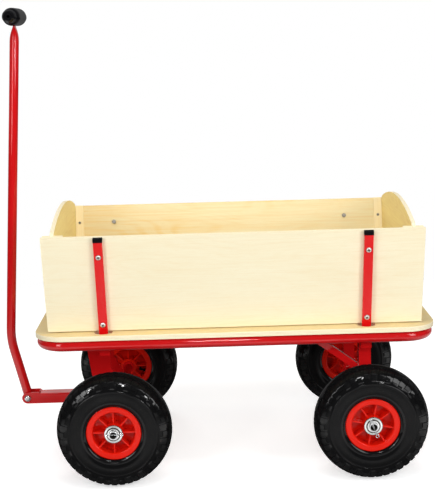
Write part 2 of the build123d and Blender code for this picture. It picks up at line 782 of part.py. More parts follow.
drawbar_foot = hinge_height - ear_radius
drawbar_top = drawbar_foot + drawbar_height
ear_top = hinge_height + ear_radius
drawbar_y = drawbar_width / 2
ear_end_x = hinge_x + ear_length
with BuildPart() as drawbar:
    with BuildSketch(Plane.XZ):
        with BuildLine():
            Polyline(
                (hinge_x, drawbar_foot),
                (web_x, drawbar_foot),
                (web_x, drawbar_top),
                (ear_end_x, drawbar_top),
                (ear_end_x - drawbar_wall, ear_top),
                (hinge_x, ear_top),
            )
            ThreePointArc((hinge_x, ear_top), (hinge_x - ear_radius, hinge_height), (hinge_x, drawbar_foot))
        make_face()
    extrude(amount=drawbar_y, both=True)
    fillet(drawbar.edges().filter_by(Axis.X).group_by(Axis.Z)[-2], drawbar_wall)
    with BuildSketch(Plane.XZ):
        with Locations((web_x, drawbar_top - drawbar_wall)):
            Rectangle(2 * (web_x - hinge_x), 2 * drawbar_height, align=(Align.MAX, Align.MAX))
        with Locations((ear_end_x - drawbar_wall, hinge_height)):
            Rectangle(2 * ear_length + 2 * ear_radius, 4 * ear_radius, align=(Align.MAX, Align.CENTER))
    extrude(amount=drawbar_y - drawbar_wall, both=True, mode=Mode.SUBTRACT)
    with Locations(Location((hinge_x, 0, hinge_height), (90, 0, 0))):
        Cylinder(hinge_bolt_diameter / 2 + seat_gap, 2 * drawbar_width, mode=Mode.SUBTRACT)
pieces["drawbar"] = drawbar

with BuildPart() as hinge_bolt:
    with BuildSketch(Plane.XZ.offset(drawbar_y)):
        with Locations((hinge_x, hinge_height)):
            Circle(hinge_bolt_head / 2)
    extrude(amount=hinge_bolt_head_height)
    fillet(hinge_bolt.edges().sort_by(Axis.Y)[0], head_round * hinge_bolt_head_height)
    with BuildSketch(Plane.XZ.offset(drawbar_y)):
        with Locations((hinge_x, hinge_height)):
            Circle(hinge_bolt_diameter / 2)
    extrude(amount=-(drawbar_width + hinge_nut_height + hinge_bolt_tail))
    with BuildSketch(Plane.XZ.offset(-drawbar_y)):
        with Locations((hinge_x, hinge_height)):
            RegularPolygon(hinge_bolt_head / 2, 6, major_radius=False)
            Circle(hinge_bolt_diameter / 2 + seat_gap, mode=Mode.SUBTRACT)
    extrude(amount=-hinge_nut_height)
pieces["hinge_bolt"] = hinge_bolt


# Pull handle: a bent tube on a cross bush, pressed flat at the top where the grip is pushed on

with BuildPart() as handle_bush:
    with BuildSketch(Plane.XZ):
        with Locations((hinge_x, hinge_height)):
            Circle(handle_bush_diameter / 2)
            Circle(hinge_bolt_diameter / 2 + running_fit, mode=Mode.SUBTRACT)
    extrude(amount=drawbar_y - drawbar_wall - float_gap, both=True)
pieces["handle_bush"] = handle_bush

bend_corner = (
    hinge_x - handle_lower_length * sin(lower_lean),
    hinge_height + handle_lower_length * cos(lower_lean),
)
straight_top = (
    bend_corner[0] + (handle_upper_length - handle_taper) * sin(upper_lean),
    bend_corner[1] + (handle_upper_length - handle_taper) * cos(upper_lean),
)
foot_plane = Plane(
    origin=(hinge_x, 0, hinge_height), x_dir=(0, 1, 0), z_dir=(-sin(lower_lean), 0, cos(lower_lean))
)
taper_plane = Plane(
    origin=(straight_top[0], 0, straight_top[1]),
    x_dir=(0, 1, 0),
    z_dir=(sin(upper_lean), 0, cos(upper_lean)),
)
tip_plane = taper_plane.offset(handle_taper)
tip_half_width = handle_tip_width / 2
tip_half_thickness = handle_tip_thickness / 2
grip_centre = tip_plane.offset(grip_diameter / 2 + grip_seat)
grip_section = Plane(
    origin=grip_centre.origin, x_dir=(0, 1, 0), z_dir=grip_centre.x_dir.cross(grip_centre.z_dir)
)

with BuildPart() as handle_tube:
    with BuildLine(Plane.XZ) as handle_path:
        FilletPolyline((hinge_x, hinge_height), bend_corner, straight_top, radius=handle_bend)
    with BuildSketch(foot_plane):
        Circle(handle_r)
        Circle(handle_r - handle_wall, mode=Mode.SUBTRACT)
    sweep(path=handle_path.line)
    with Locations(Location((hinge_x, 0, hinge_height), (90, 0, 0))):
        Cylinder(handle_bush_diameter / 2 + seat_gap, 2 * drawbar_width, mode=Mode.SUBTRACT)
    for step in range(handle_taper_steps + 1):
        share = step / handle_taper_steps
        pressed = share**2
        with BuildSketch(taper_plane.offset(share * handle_taper)):
            Ellipse(
                handle_r + pressed * (tip_half_width - handle_r),
                handle_r + pressed * (tip_half_thickness - handle_r),
            )
    loft()
    with BuildSketch(tip_plane):
        Ellipse(tip_half_width, tip_half_thickness)
    extrude(amount=handle_tip_length)
    with BuildSketch(grip_section):
        Circle(grip_pin_diameter / 2 + seat_gap)
    extrude(amount=grip_diameter, both=True, mode=Mode.SUBTRACT)
pieces["handle_tube"] = handle_tube

# The grip is turned about an axis across the handle: straight in the middle, tapered both ways to round ends
with BuildPart() as t_grip:
    with BuildSketch(grip_section):
        with BuildLine():
            Line((-grip_straight / 2, grip_diameter / 2), (grip_straight / 2, grip_diameter / 2))
            for side in (-1, 1):
                TangentArc(
                    (side * grip_straight / 2, grip_diameter / 2),
                    (side * grip_length / 2, grip_end / 2),
                    tangent=(side, 0),
                )
            Polyline(
                (grip_length / 2, grip_end / 2),
                (grip_length / 2, 0),
                (-grip_length / 2, 0),
                (-grip_length / 2, grip_end / 2),
            )
        make_face()
    revolve(axis=Axis(grip_centre.origin, (0, 1, 0)))
    with BuildSketch(grip_section):
        Circle(grip_pin_diameter / 2 + seat_gap)
    extrude(amount=grip_diameter, both=True, mode=Mode.SUBTRACT)
    end_edges = t_grip.edges().filter_by(GeomType.CIRCLE).sort_by(Axis.Y)
    fillet([end_edges[0], end_edges[-1]], grip_end_round)
    for side in (-1, 1):
        grip_end_centre = grip_centre.origin + Vector(0, side * grip_length / 2, 0)
        with Locations(Location(grip_end_centre, (90, 0, 0))):
            Cylinder(grip_hole / 2, 2 * grip_hole_depth, mode=Mode.SUBTRACT)
    with BuildSketch(tip_plane.offset(-grip_diameter)):
        Ellipse(tip_half_width + seat_gap, tip_half_thickness + seat_gap)
    extrude(amount=grip_diameter + handle_tip_length + seat_gap, mode=Mode.SUBTRACT)
pieces["t_grip"] = t_grip

with BuildPart() as grip_pin:
    with BuildSketch(grip_section):
        Circle(grip_pin_diameter / 2)
    extrude(amount=grip_pin_length / 2, both=True)
pieces["grip_pin"] = grip_pin

os.makedirs("parts", exist_ok=True)
for name, piece in pieces.items():
    piece.part.label = name
    export_step(piece.part, f"parts/{name}.step")
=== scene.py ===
"""A plywood hand wagon: tyres, grip, fasteners, welds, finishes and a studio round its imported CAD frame."""

import json
import math
from collections import namedtuple

import bmesh
import bpy
import numpy as np
from bpy.props import FloatProperty, FloatVectorProperty, IntProperty, PointerProperty
from mathutils import Matrix, Vector


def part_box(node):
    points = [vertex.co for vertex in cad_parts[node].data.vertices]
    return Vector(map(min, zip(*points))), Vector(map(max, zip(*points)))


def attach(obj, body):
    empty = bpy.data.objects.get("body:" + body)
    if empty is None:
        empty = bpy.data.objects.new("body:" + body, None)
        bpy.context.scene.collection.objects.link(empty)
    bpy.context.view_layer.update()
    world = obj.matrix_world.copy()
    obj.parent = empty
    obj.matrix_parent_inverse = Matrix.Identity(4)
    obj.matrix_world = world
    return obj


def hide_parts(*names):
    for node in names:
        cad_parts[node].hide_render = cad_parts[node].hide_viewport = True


bl_info = {
    "name": "Hand wagon",
    "version": (1, 0, 0),
    "blender": (4, 5, 0),
    "location": "View3D > Sidebar > Wagon",
    "description": "Tyres, grip, fasteners, welds, finishes and a studio for a plywood hand wagon",
    "category": "Object",
}

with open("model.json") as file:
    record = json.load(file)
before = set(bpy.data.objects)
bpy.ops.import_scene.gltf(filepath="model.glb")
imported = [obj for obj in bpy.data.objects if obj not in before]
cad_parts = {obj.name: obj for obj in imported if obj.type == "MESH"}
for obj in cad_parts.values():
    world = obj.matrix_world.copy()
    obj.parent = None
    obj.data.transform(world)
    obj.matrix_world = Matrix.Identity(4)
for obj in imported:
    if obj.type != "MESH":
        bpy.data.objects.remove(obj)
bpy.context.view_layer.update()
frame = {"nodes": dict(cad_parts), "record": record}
nodes = frame["nodes"]
slot_of = {part["node"]: part["material_slot"] for part in frame["record"]["subparts"]}

CORNERS = ("front_left", "front_right", "rear_left", "rear_right")
SIDES = {"left": -1.0, "right": 1.0}
AXLES = {"front": "front_truck", "rear": "bed"}

# Sizes of the CAD model that the new pieces fit, in metres
FLARE = math.radians(12)
BOARD = 0.009
FOOT_Y, FOOT_Z = 0.194031, 0.341
STAKE_X, STAKE_DEPTH = 0.300, 0.010
FRAME_R, CROSS_R, AXLE_R, AXLE_BORE = 0.013, 0.011, 0.010, 0.0078
AXLE_PAINT = 0.2268
POST_Y, POST_HALF, POST_PAD = 0.151, 0.014, 0.005
FORK_Y = 0.052
DRAWBAR_HALF, DRAWBAR_HEIGHT = 0.017, 0.025

# Each skin has its ripples to the metre, least and most roughness, drift of tone and bump, then the weight
# and roughness of its clear coat. One with no coat is metal.
Skin = namedtuple("Skin", "ripple smooth dull drift bump gloss sheen")
SKINS = {
    "red_paint": Skin(900.0, 0.26, 0.36, 0.10, 0.06, 1.0, 0.06),
    "lit_stake_paint": Skin(900.0, 0.26, 0.36, 0.10, 0.06, 0.6, 0.06),
    "axle_paint": Skin(900.0, 0.28, 0.38, 0.15, 0.0, 0.0, 0.0),
    "axle_zinc": Skin(2600.0, 0.20, 0.36, 0.15, 0.0, 0.0, 0.0),
    "zinc_plating": Skin(2600.0, 0.18, 0.34, 0.22, 0.05, 0.0, 0.0),
    "washer_zinc_shaded": Skin(2600.0, 0.16, 0.30, 0.15, 0.05, 0.0, 0.0),
    "bolt_zinc": Skin(2600.0, 0.30, 0.44, 0.15, 0.05, 0.0, 0.0),
    "dull_zinc": Skin(2600.0, 0.34, 0.50, 0.30, 0.08, 0.0, 0.0),
    "rim_plastic_edge_shaded": Skin(1400.0, 0.26, 0.38, 0.12, 0.08, 0.38, 0.12),
    "black_moulding": Skin(1500.0, 0.26, 0.40, 0.10, 0.10, 0.11, 0.20),
    "grip_moulding": Skin(1500.0, 0.26, 0.40, 0.10, 0.06, 0.90, 0.10),
    "nylon_moulding": Skin(1500.0, 0.40, 0.50, 0.10, 0.10, 0.30, 0.30),
    "valve_rubber": Skin(1500.0, 0.50, 0.60, 0.10, 0.20, 0.20, 0.40),
    "tyre_rubber": Skin(1100.0, 0.36, 0.50, 0.20, 0.10, 1.0, 0.08),
}


def node_middle(name):
    """The middle of a CAD node's box."""
    low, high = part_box(name)
    return (low + high) / 2


# Settings


def colour(name, label, default):
    """A colour property in linear RGB."""
    return FloatVectorProperty(
        name=name, description=label, subtype="COLOR", size=3, min=0.0, max=1.0, default=default
    )


def number(name, label, default, **kind):
    """A number property, with its subtype, unit or limits if it has any."""
    return FloatProperty(name=name, description=label, default=default, **kind)


def length(name, label, default):
    """A length property in metres."""
    return number(name, label, default, subtype="DISTANCE", unit="LENGTH", min=0.0)


def angle(name, label, degrees):
    """An angle property, given in degrees."""
    return number(name, label, math.radians(degrees), subtype="ANGLE")


def power(name, label, default):
    """A lamp's power in watts."""
    return number(name, label, default, subtype="POWER")


class BoardFinish(bpy.types.PropertyGroup):
    """Colours of the plywood boards and the batten strips."""

    pale: colour("Pale veneer", "Early wood of the left side board", (0.955, 0.88, 0.65))
    tan: colour("Tan veneer", "Late wood lines and darker patches", (0.82, 0.60, 0.26))
    # Warm, floor and end veneer are darker and yellower than the pale veneer: painted shade and painted
    # bounce light inside the box. The right board's tone is partly its own.
    right_tone_and_shade: colour("Warm veneer", "Early wood of the right side board", (0.85, 0.755, 0.485))
    floor: colour("Floor veneer", "Early wood of the floor board", (0.74, 0.63, 0.37))
    ends: colour("End veneer", "Early wood of the end boards", (0.99, 0.82, 0.36))
    strip: colour("Batten", "Wood of the batten strips", (0.95, 0.84, 0.56))
    edge_dark: colour("Ply edge", "The darker plies that show on a cut edge", (0.72, 0.54, 0.28))
    ply: length("Ply", "Thickness of one layer of the plywood", 0.0015)


class MetalFinish(bpy.types.PropertyGroup):
    """Colours of the painted and plated steel."""

    red: colour("Red paint", "Gloss paint on the tubes and plates", (0.60, 0.0075, 0.009))
    # Painted light: the stakes' red is a brighter copy of the red paint, for the light their flat faces catch
    stake: colour("Stake paint", "Brighter gloss paint on the stakes", (0.75, 0.006, 0.007))
    zinc: colour("Zinc", "Bright plating on pins, floor bolts, hinge bolt and axle ends", (0.68, 0.69, 0.70))
    # Painted light: washer zinc is a brighter copy of the zinc, for the hub washers and bolt heads
    bright: colour("Washer zinc", "Brighter plating as painted light on the hub washers and bolt heads", (0.88, 0.88, 0.87))
    dull: colour("Dull zinc", "Plating on the nuts and screws inside the box", (0.38, 0.36, 0.32))
    # Painted shade: this dark colour lies at the hub washers' edges, in the bolts' and screws' cross recesses
    # and round their rims, and in the axle bores. On the bolt shanks it is grease.
    grease_and_shade: colour("Grease", "Dark film of painted shade in the hubs' joints, recesses and axle bores, and of grease on bolt shanks", (0.05, 0.045, 0.04))


class PlasticFinish(bpy.types.PropertyGroup):
    """Colours of the plastic and rubber pieces."""

    rim: colour("Rim", "Moulded plastic of the wheel rims", (0.76, 0.012, 0.004))
    # Painted shade: a dark ring on each rim's outer edge next to the tyre, where the edge turns away from the
    # light
    rim_edge_shade: colour("Rim edge", "Painted shade on the rims' edges by the tyres", (0.20, 0.008, 0.006))
    black: colour("Black plastic", "Caps and pull grip", (0.0045, 0.0045, 0.0055))
    rubber: colour("Rubber", "Tyre rubber", (0.0050, 0.0050, 0.0053))
    nylon: colour("Nylon", "Hub bushes", (0.78, 0.77, 0.72))


class TyreShape(bpy.types.PropertyGroup):
    """Tread of the pneumatic tyres."""

    lugs: IntProperty(name="Lugs", description="Blocks round each shoulder", min=12, max=60, default=44)
    groove: length("Groove", "Depth of the grooves under the tread's surface", 0.0020)
    rise: length("Rise", "How far the shoulder blocks stand out of the sidewall", 0.0014)
    slant: number("Slant", "Lean of the blocks, in pitches", 0.42)


class FastenerShape(bpy.types.PropertyGroup):
    """Bolts, screws, split pins and welds."""

    bolt_head: length("Bolt head", "Diameter of the stake bolts' heads", 0.0125)
    bolt_dome: length("Bolt dome", "Height of the stake bolts' heads", 0.0040)
    screw_head: length("Screw head", "Diameter of the batten screws' heads", 0.0070)
    wire: length("Pin wire", "Thickness of the split pins' wire", 0.0019)
    weld: length("Weld", "Thickness of a weld bead", 0.0042)


class GripShape(bpy.types.PropertyGroup):
    """Bulges of the pull grip."""

    step: length("Step", "How much thinner the end bulges are than the middle one", 0.0044)
    groove: length("Groove", "Depth of the groove between two bulges", 0.0022)
    hole: length("Hole", "Diameter of the hole in each end", 0.0070)


class StudioSetup(bpy.types.PropertyGroup):
    """Camera, light and floor."""

    camera_place: FloatVectorProperty(
        name="Camera place", description="Where the camera stands", subtype="XYZ", unit="LENGTH", size=3,
        default=(-0.00648, -2.7648, 1.00835),
    )
    pitch: angle("Pitch", "Camera looks down by", 10.89)
    yaw: angle("Yaw", "Camera turns right by", 0.97)
    roll: angle("Roll", "Picture's right side goes up by", 1.46)
    lens: number("Lens", "Focal length in millimetres", 84.37)
    left_power: power("Left", "Power of the left softbox", 30.0)
    right_power: power("Right", "Power of the right softbox", 40.5)
    top_power: power("Top", "Power of the overhead softbox", 18.0)
    back_power: power("Back", "Power of the softbox behind", 44.0)
    lamp_power: power("Lamps", "Power of each small side lamp", 4.8)
    front_power: power("Front", "Power of the lamp over the camera", 11.0)
    ambient: number("Ambient", "Light of the white room", 0.28)
    behind: number("Behind", "What the room behind the camera reflects", 0.08)
    glow: number("Floor glow", "White that the floor shows in full shadow", 0.55)


# Grids, turned shapes and pieces


def ramp(value, start, width):
    """0 up to the start, and from there evenly up to 1 over the width."""
    return np.clip((value - start) / width, 0, 1)


def grid_quads(rows, columns, closed_rows, closed_columns):
    """Quads between neighbouring lines of a rows x columns grid.
    A closed side joins its last line to the first."""
    i, j = np.meshgrid(
        np.arange(rows if closed_rows else rows - 1),
        np.arange(columns if closed_columns else columns - 1),
        indexing="ij",
    )
    down, right = (i + 1) % rows, (j + 1) % columns
    corners = (i * columns + j, i * columns + right, down * columns + right, down * columns + j)
    return np.stack(corners, axis=-1).reshape(-1, 4)


def shell_of(points, quads, dirt_and_shade=None):
    """A shell: its points, its quads and how much dirt and painted shade lies at each point, none where it
    isn't given.
    """
    points = points.reshape(-1, 3)
    return points, quads, np.zeros(len(points)) if dirt_and_shade is None else dirt_and_shade.ravel()


def gather(shells):
    """Several shells as one, with each shell's quads counted on from the last one's points."""
    starts = np.cumsum([0] + [len(points) for points, _, _ in shells[:-1]])
    points = np.concatenate([points for points, _, _ in shells])
    quads = np.concatenate([quads + start for (_, quads, _), start in zip(shells, starts)])
    return points, quads, np.concatenate([dirt_and_shade for _, _, dirt_and_shade in shells])


def axes_at(origin, along, up):
    """A 4 x 4 frame whose third axis is along and whose second lies towards up, as an array."""
    z = Vector(along).normalized()
    x = Vector(up).cross(z).normalized()
    axes = Matrix((x, z.cross(x), z)).transposed().to_4x4()
    axes.translation = origin
    return np.array(axes)


def set_in(matrix, shell):
    """A shell's points carried into a frame: rotated by its axes and moved to its origin."""
    points, quads, dirt_and_shade = shell
    return points @ matrix[:3, :3].T + matrix[:3, 3], quads, dirt_and_shade


def turned(profile, sides, flats=0, ring=False):
    """A profile of (radius, height) pairs carried round the third axis: x = r cos a, y = r sin a, z = h.
    With flats, r is divided by cos of the angle to the nearest flat's middle, for a prism with that many.
    A ring's profile is a closed loop."""
    profile = np.array(profile, float)
    around = np.arange(sides) * 2 * np.pi / sides
    reach = np.ones_like(around)
    if flats:
        step = 2 * np.pi / flats
        reach = 1 / np.cos((around + step / 2) % step - step / 2)
    radius, height = profile[:, :1] * reach, profile[:, 1:]
    points = np.stack([radius * np.cos(around), radius * np.sin(around), height + 0 * around], axis=-1)
    return shell_of(points, grid_quads(len(profile), sides, ring, True))


def washer(inner, outer, low, high, curve):
    """A flat ring from inner to outer radius, whose outer edges are quarter rounds of the curve's radius."""
    arc = np.linspace(0, np.pi / 2, 4)
    upper = np.stack([outer - curve + curve * np.sin(arc), high - curve + curve * np.cos(arc)], axis=-1)
    lower = np.stack([outer - curve + curve * np.cos(arc), low + curve - curve * np.sin(arc)], axis=-1)
    small = 0.3 * curve
    bore = [[inner + small, low], [inner, low + small], [inner, high - small], [inner + small, high]]
    return turned(np.concatenate([bore, upper, lower]), 64, ring=True)


def cross_head(radius, dome, arm, depth):
    """A screw head on a square grid (u, v) drawn to a disc: x = r u sqrt(1 - v2/2), y = r v sqrt(1 - u2/2).
    Its height is dome (1 - q^3)^0.5 with q the share of the radius, less a cross of two sunk bars, arm wide.
    Painted shade lies in the cross and round the rim."""
    half_wide, half_long = 1.5, 3.9
    line = np.array([0, 0.5, 0.9, 1.1, 1.5, 2.6, 3.4]) * arm
    line = np.concatenate([line, np.linspace(line[-1] + 0.12, 1, 5)])
    line = np.concatenate([-line[:0:-1], line])
    u, v = np.meshgrid(line, line, indexing="ij")
    x, y = u * np.sqrt(1 - v**2 / 2), v * np.sqrt(1 - u**2 / 2)
    share = np.clip(np.hypot(x, y), 0, 1)
    wide = [np.clip(half_wide - np.abs(way) / arm, 0, 1) for way in (u, v)]
    long = [np.clip(half_long - np.abs(way) / arm, 0, 1) for way in (u, v)]
    sunk = np.maximum(wide[1] * long[0], wide[0] * long[1])
    top = dome * np.sqrt(np.clip(1 - share**3, 0, 1)) - depth * sunk
    # Painted shade in the cross recess and round the rim
    dirt_and_shade = np.maximum(sunk, 0.7 * ramp(share, 0.90, 0.08))
    points = np.stack([radius * x, radius * y, top], axis=-1)
    foot = np.stack([radius * x, radius * y, -0.1 * dome * (1 - share)], axis=-1)
    quads = grid_quads(len(line), len(line), False, False)
    return gather([shell_of(points, quads, dirt_and_shade), shell_of(foot, quads[:, ::-1], dirt_and_shade)])


def swept(path, outward, thickness, closed=False, ripple=0.0, taper=0.0005):
    """A round section carried along a path, of radius thickness / 2 (1 + ripple sin of the run over pitch).
    Each section lies in the plane of outward and what is square to it and the path.
    Open ends taper to a point."""
    pitch, sides = 0.0034, 8
    path, outward = np.array(path, float), np.array(outward, float)
    ahead = (np.roll(path, -1, 0) - np.roll(path, 1, 0)) if closed else np.gradient(path, axis=0)
    ahead /= np.linalg.norm(ahead, axis=1, keepdims=True)
    first = outward - ahead * np.sum(outward * ahead, axis=1, keepdims=True)
    first /= np.linalg.norm(first, axis=1, keepdims=True)
    second = np.cross(ahead, first)
    run = np.concatenate([[0], np.cumsum(np.linalg.norm(np.diff(path, axis=0), axis=1))])
    size = thickness / 2 * (1 + ripple * np.sin(2 * np.pi * run / pitch))
    if not closed:
        size = size * ramp(np.minimum(run, run[-1] - run), 0.0, taper)
    around = np.arange(sides) * 2 * np.pi / sides
    ring = np.cos(around)[None, :, None] * first[:, None] + np.sin(around)[None, :, None] * second[:, None]
    return shell_of(path[:, None] + size[:, None, None] * ring, grid_quads(len(path), sides, closed, True))


def split_pin(wire, tail, head, eye):
    """A split pin in the first two axes: two legs side by side from -tail to an eye about head, of that mean
    radius. The tails part as the square of the way over their bent ends."""
    bent, parting, slack = 0.004, 0.0022, 0.00002
    gap = wire / 2 + slack
    turn = math.asin(gap / eye)
    sweep = np.linspace(-np.pi + turn, np.pi - turn, 40)
    loop = np.stack([head + eye * np.cos(sweep), eye * np.sin(sweep)], axis=-1)
    along = np.concatenate([[-tail, -tail + 0.0005], np.linspace(-tail + 0.001, head - eye - 0.0015, 30)])
    across = gap + parting * np.clip((bent - tail - along) / bent, 0, 1) ** 2
    lower = np.stack([along, -across], axis=-1)
    line = np.concatenate([lower, loop, lower[::-1] * (1, -1)])
    path = np.concatenate([line, 0 * line[:, :1]], axis=1)
    return swept(path, np.broadcast_to((0.0, 0.0, 1.0), path.shape), wire)


def new_piece(name, shell, material, body, replaced=()):
    """A mesh object from a shell: doubles merged, faces turned outwards, edges past 35 degrees sharp."""
    points, quads, dirt_and_shade = shell
    mesh = bpy.data.meshes.new(name)
    mesh.from_pydata(points.tolist(), [], quads.tolist())
    mesh.attributes.new("dirt_and_shade", "FLOAT", "POINT").data.foreach_set("value", dirt_and_shade)
    work = bmesh.new()
    work.from_mesh(mesh)
    bmesh.ops.remove_doubles(work, verts=work.verts, dist=1e-6)
    bmesh.ops.recalc_face_normals(work, faces=work.faces)
    work.to_mesh(mesh)
    work.free()
    mesh.shade_smooth()
    mesh.set_sharp_from_angle(angle=math.radians(35))
    mesh.materials.append(material)
    piece = bpy.data.objects.new(name, mesh)
    bpy.context.scene.collection.objects.link(piece)
    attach(piece, body)
    if replaced:
        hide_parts(*replaced)


# Node trees


def empty_tree(owner):
    """The node tree of a material or a world, with nothing in it."""
    owner.use_nodes = True
    owner.node_tree.nodes.clear()
    return owner.node_tree


def feed(tree, node, inputs):
    """Sets a node's inputs, each to a number, a colour or a vector, or links it to another node's output."""
    for key, value in inputs.items():
        if isinstance(value, bpy.types.NodeSocket):
            tree.links.new(value, node.inputs[key])
        else:
            node.inputs[key].default_value = value
    return node


def put(tree, kind, inputs=None, **options):
    """Adds a node with its options, then its inputs."""
    node = tree.nodes.new(kind)
    for key, value in options.items():
        setattr(node, key, value)
    return feed(tree, node, inputs or {})


def calc(tree, operation, a, b=0.0, c=0.0, clamp=False):
    """A Math node's value."""
    return put(tree, "ShaderNodeMath", {0: a, 1: b, 2: c}, operation=operation, use_clamp=clamp).outputs[0]


def mix(tree, share, a, b):
    """A Mix node's number."""
    return put(tree, "ShaderNodeMix", {0: share, 2: a, 3: b}).outputs[0]


def blend(tree, share, a, b, kind="MIX"):
    """A Mix node's colour."""
    return put(tree, "ShaderNodeMix", {0: share, 6: a, 7: b}, data_type="RGBA", blend_type=kind).outputs[2]


def spread(tree, value, low, high, to_low=0.0, to_high=1.0):
    """A value moved from one range to another and held inside it."""
    node = put(tree, "ShaderNodeMapRange", {0: value, 1: low, 2: high, 3: to_low, 4: to_high}, clamp=True)
    return node.outputs[0]


def noise(tree, where, scale, detail=2.0, roughness=0.5, distortion=0.0):
    """A noise texture's value."""
    return put(tree, "ShaderNodeTexNoise", {
        "Vector": where, "Scale": scale, "Detail": detail, "Roughness": roughness, "Distortion": distortion,
    }).outputs[0]


def vector(tree, operation, a, b):
    """A Vector Math node's vector."""
    return put(tree, "ShaderNodeVectorMath", {0: a, 1: b}, operation=operation).outputs[0]


def size_of(tree, operation, a, b=(0, 0, 0)):
    """A Vector Math node's number, such as a dot product or a length."""
    return put(tree, "ShaderNodeVectorMath", {0: a, 1: b}, operation=operation).outputs["Value"]


def parts_of(tree, where):
    """The X, Y and Z of a vector."""
    return put(tree, "ShaderNodeSeparateXYZ", {0: where}).outputs


def off_axis(tree, where, centre):
    """How far a place is from the line through the centre along Y."""
    offset = vector(tree, "SUBTRACT", where, centre)
    return size_of(tree, "LENGTH", vector(tree, "MULTIPLY", offset, (1.0, 0.0, 1.0)))


def new_group(name, inputs, outputs):
    """A shader node group with named sockets: the group, what it is given and the node for its results."""
    group = bpy.data.node_groups.new(name, "ShaderNodeTree")
    for way, sockets in (("INPUT", inputs), ("OUTPUT", outputs)):
        for label, kind in sockets.items():
            group.interface.new_socket(name=label, in_out=way, socket_type="NodeSocket" + kind)
    return group, group.nodes.new("NodeGroupInput").outputs, group.nodes.new("NodeGroupOutput")


def board_axes_group():
    """Position along, across and through a board, and how squarely a face looks through it."""
    group, given, result = new_group("Board axes", {
        "Position": "Vector", "Normal": "Vector", "Along": "Vector", "Across": "Vector", "Through": "Vector",
    }, {"Position": "Vector", "Facing": "Float"})
    place = put(group, "ShaderNodeCombineXYZ", {
        axis: size_of(group, "DOT_PRODUCT", given["Position"], given[way])
        for axis, way in (("X", "Along"), ("Y", "Across"), ("Z", "Through"))
    })
    facing = calc(group, "ABSOLUTE", size_of(group, "DOT_PRODUCT", given["Normal"], given["Through"]))
    feed(group, result, {"Position": place.outputs[0], "Facing": facing})
    return group


def veneer_group():
    """Birch veneer along X: contour lines of a stretched noise for its figure, patches, streaks and pores."""
    group, given, result = new_group("Birch veneer", {
        "Position": "Vector", "Pale": "Color", "Tan": "Color", "Figure": "Float", "Lines": "Float",
    }, {"Color": "Color", "Roughness": "Float", "Height": "Float"})

    def grain(along, across, *detail):
        """A noise of that many waves to the metre along the board and across it."""
        return noise(group, vector(group, "MULTIPLY", given["Position"], (along, across, across)), *detail)

    slope = calc(group, "MULTIPLY", parts_of(group, given["Position"])["Y"], 60.0)
    phase = calc(group, "MULTIPLY_ADD", grain(1.5, 8.0, 1.0, 2.5, 0.45, 0.3), given["Lines"], slope)
    growth = spread(group, calc(group, "SINE", phase), -0.2, 1.0)
    patch = spread(group, grain(1.9, 9.0, 1.3, 2.0), 0.35, 0.7)
    streak = spread(group, grain(7.0, 260.0, 1.0, 3.0, 0.6), 0.40, 0.72)
    pores = spread(group, grain(60.0, 1500.0, 1.0, 1.0), 0.6, 0.72)
    lines = calc(group, "MULTIPLY", growth, calc(group, "MULTIPLY_ADD", patch, 0.30, 0.06))
    ground = calc(group, "MULTIPLY_ADD", patch, 0.36, calc(group, "MULTIPLY", streak, 0.40))
    amount = calc(group, "MULTIPLY", given["Figure"], calc(group, "ADD", lines, ground), clamp=True)
    veneer = blend(group, amount, given["Pale"], given["Tan"])
    feed(group, result, {
        "Color": blend(group, calc(group, "MULTIPLY", pores, 0.16), veneer, given["Tan"], "MULTIPLY"),
        "Roughness": spread(group, streak, 0.0, 1.0, 0.42, 0.56),
        "Height": calc(group, "SUBTRACT", calc(group, "MULTIPLY", streak, -0.4), pores),
    })
    return group


def ply_edge_group():
    """Where a face shows the board's cut edge, the plies in turn light and dark instead of the veneer."""
    group, given, result = new_group("Ply edge", {
        "Position": "Vector", "Facing": "Float", "Veneer": "Color", "Light": "Color", "Dark": "Color",
        "Ply": "Float",
    }, {"Color": "Color"})
    depth = calc(group, "DIVIDE", parts_of(group, given["Position"])["Z"], given["Ply"])
    layer = spread(group, calc(group, "SINE", calc(group, "MULTIPLY", depth, math.pi)), -0.25, 0.25)
    fibre = noise(group, vector(group, "MULTIPLY", given["Position"], (500.0, 500.0, 900.0)), 1.0, 2.0)
    share = calc(group, "MULTIPLY", layer, spread(group, fibre, 0.3, 0.7, 0.25, 0.7))
    cut = blend(group, share, given["Light"], given["Dark"])
    edge = spread(group, given["Facing"], 0.72, 0.60)
    feed(group, result, {"Color": blend(group, edge, given["Veneer"], cut)})
    return group


def skin_group():
    """A moulded or sprayed skin: a fine ripple for its height, a slow drift of tone, roughness and gloss."""
    group, given, result = new_group("Sprayed skin", {
        "Position": "Vector", "Color": "Color", "Ripple": "Float", "Smooth": "Float", "Dull": "Float",
        "Drift": "Float", "Gloss": "Float",
    }, {"Color": "Color", "Roughness": "Float", "Coat": "Float", "Height": "Float"})
    slow = noise(group, given["Position"], 14.0, 3.0, 0.6)
    drift = calc(group, "MULTIPLY", spread(group, slow, 0.3, 0.75), given["Drift"])
    darker = put(group, "ShaderNodeHueSaturation", {"Color": given["Color"], "Value": 0.6}).outputs[0]
    feed(group, result, {
        "Color": blend(group, drift, given["Color"], darker),
        "Roughness": spread(group, slow, 0.3, 0.7, given["Smooth"], given["Dull"]),
        "Coat": calc(group, "MULTIPLY", spread(group, slow, 0.3, 0.7, 1.1, 0.8), given["Gloss"]),
        "Height": noise(group, given["Position"], given["Ripple"], 2.0, 0.55),
    })
    return group


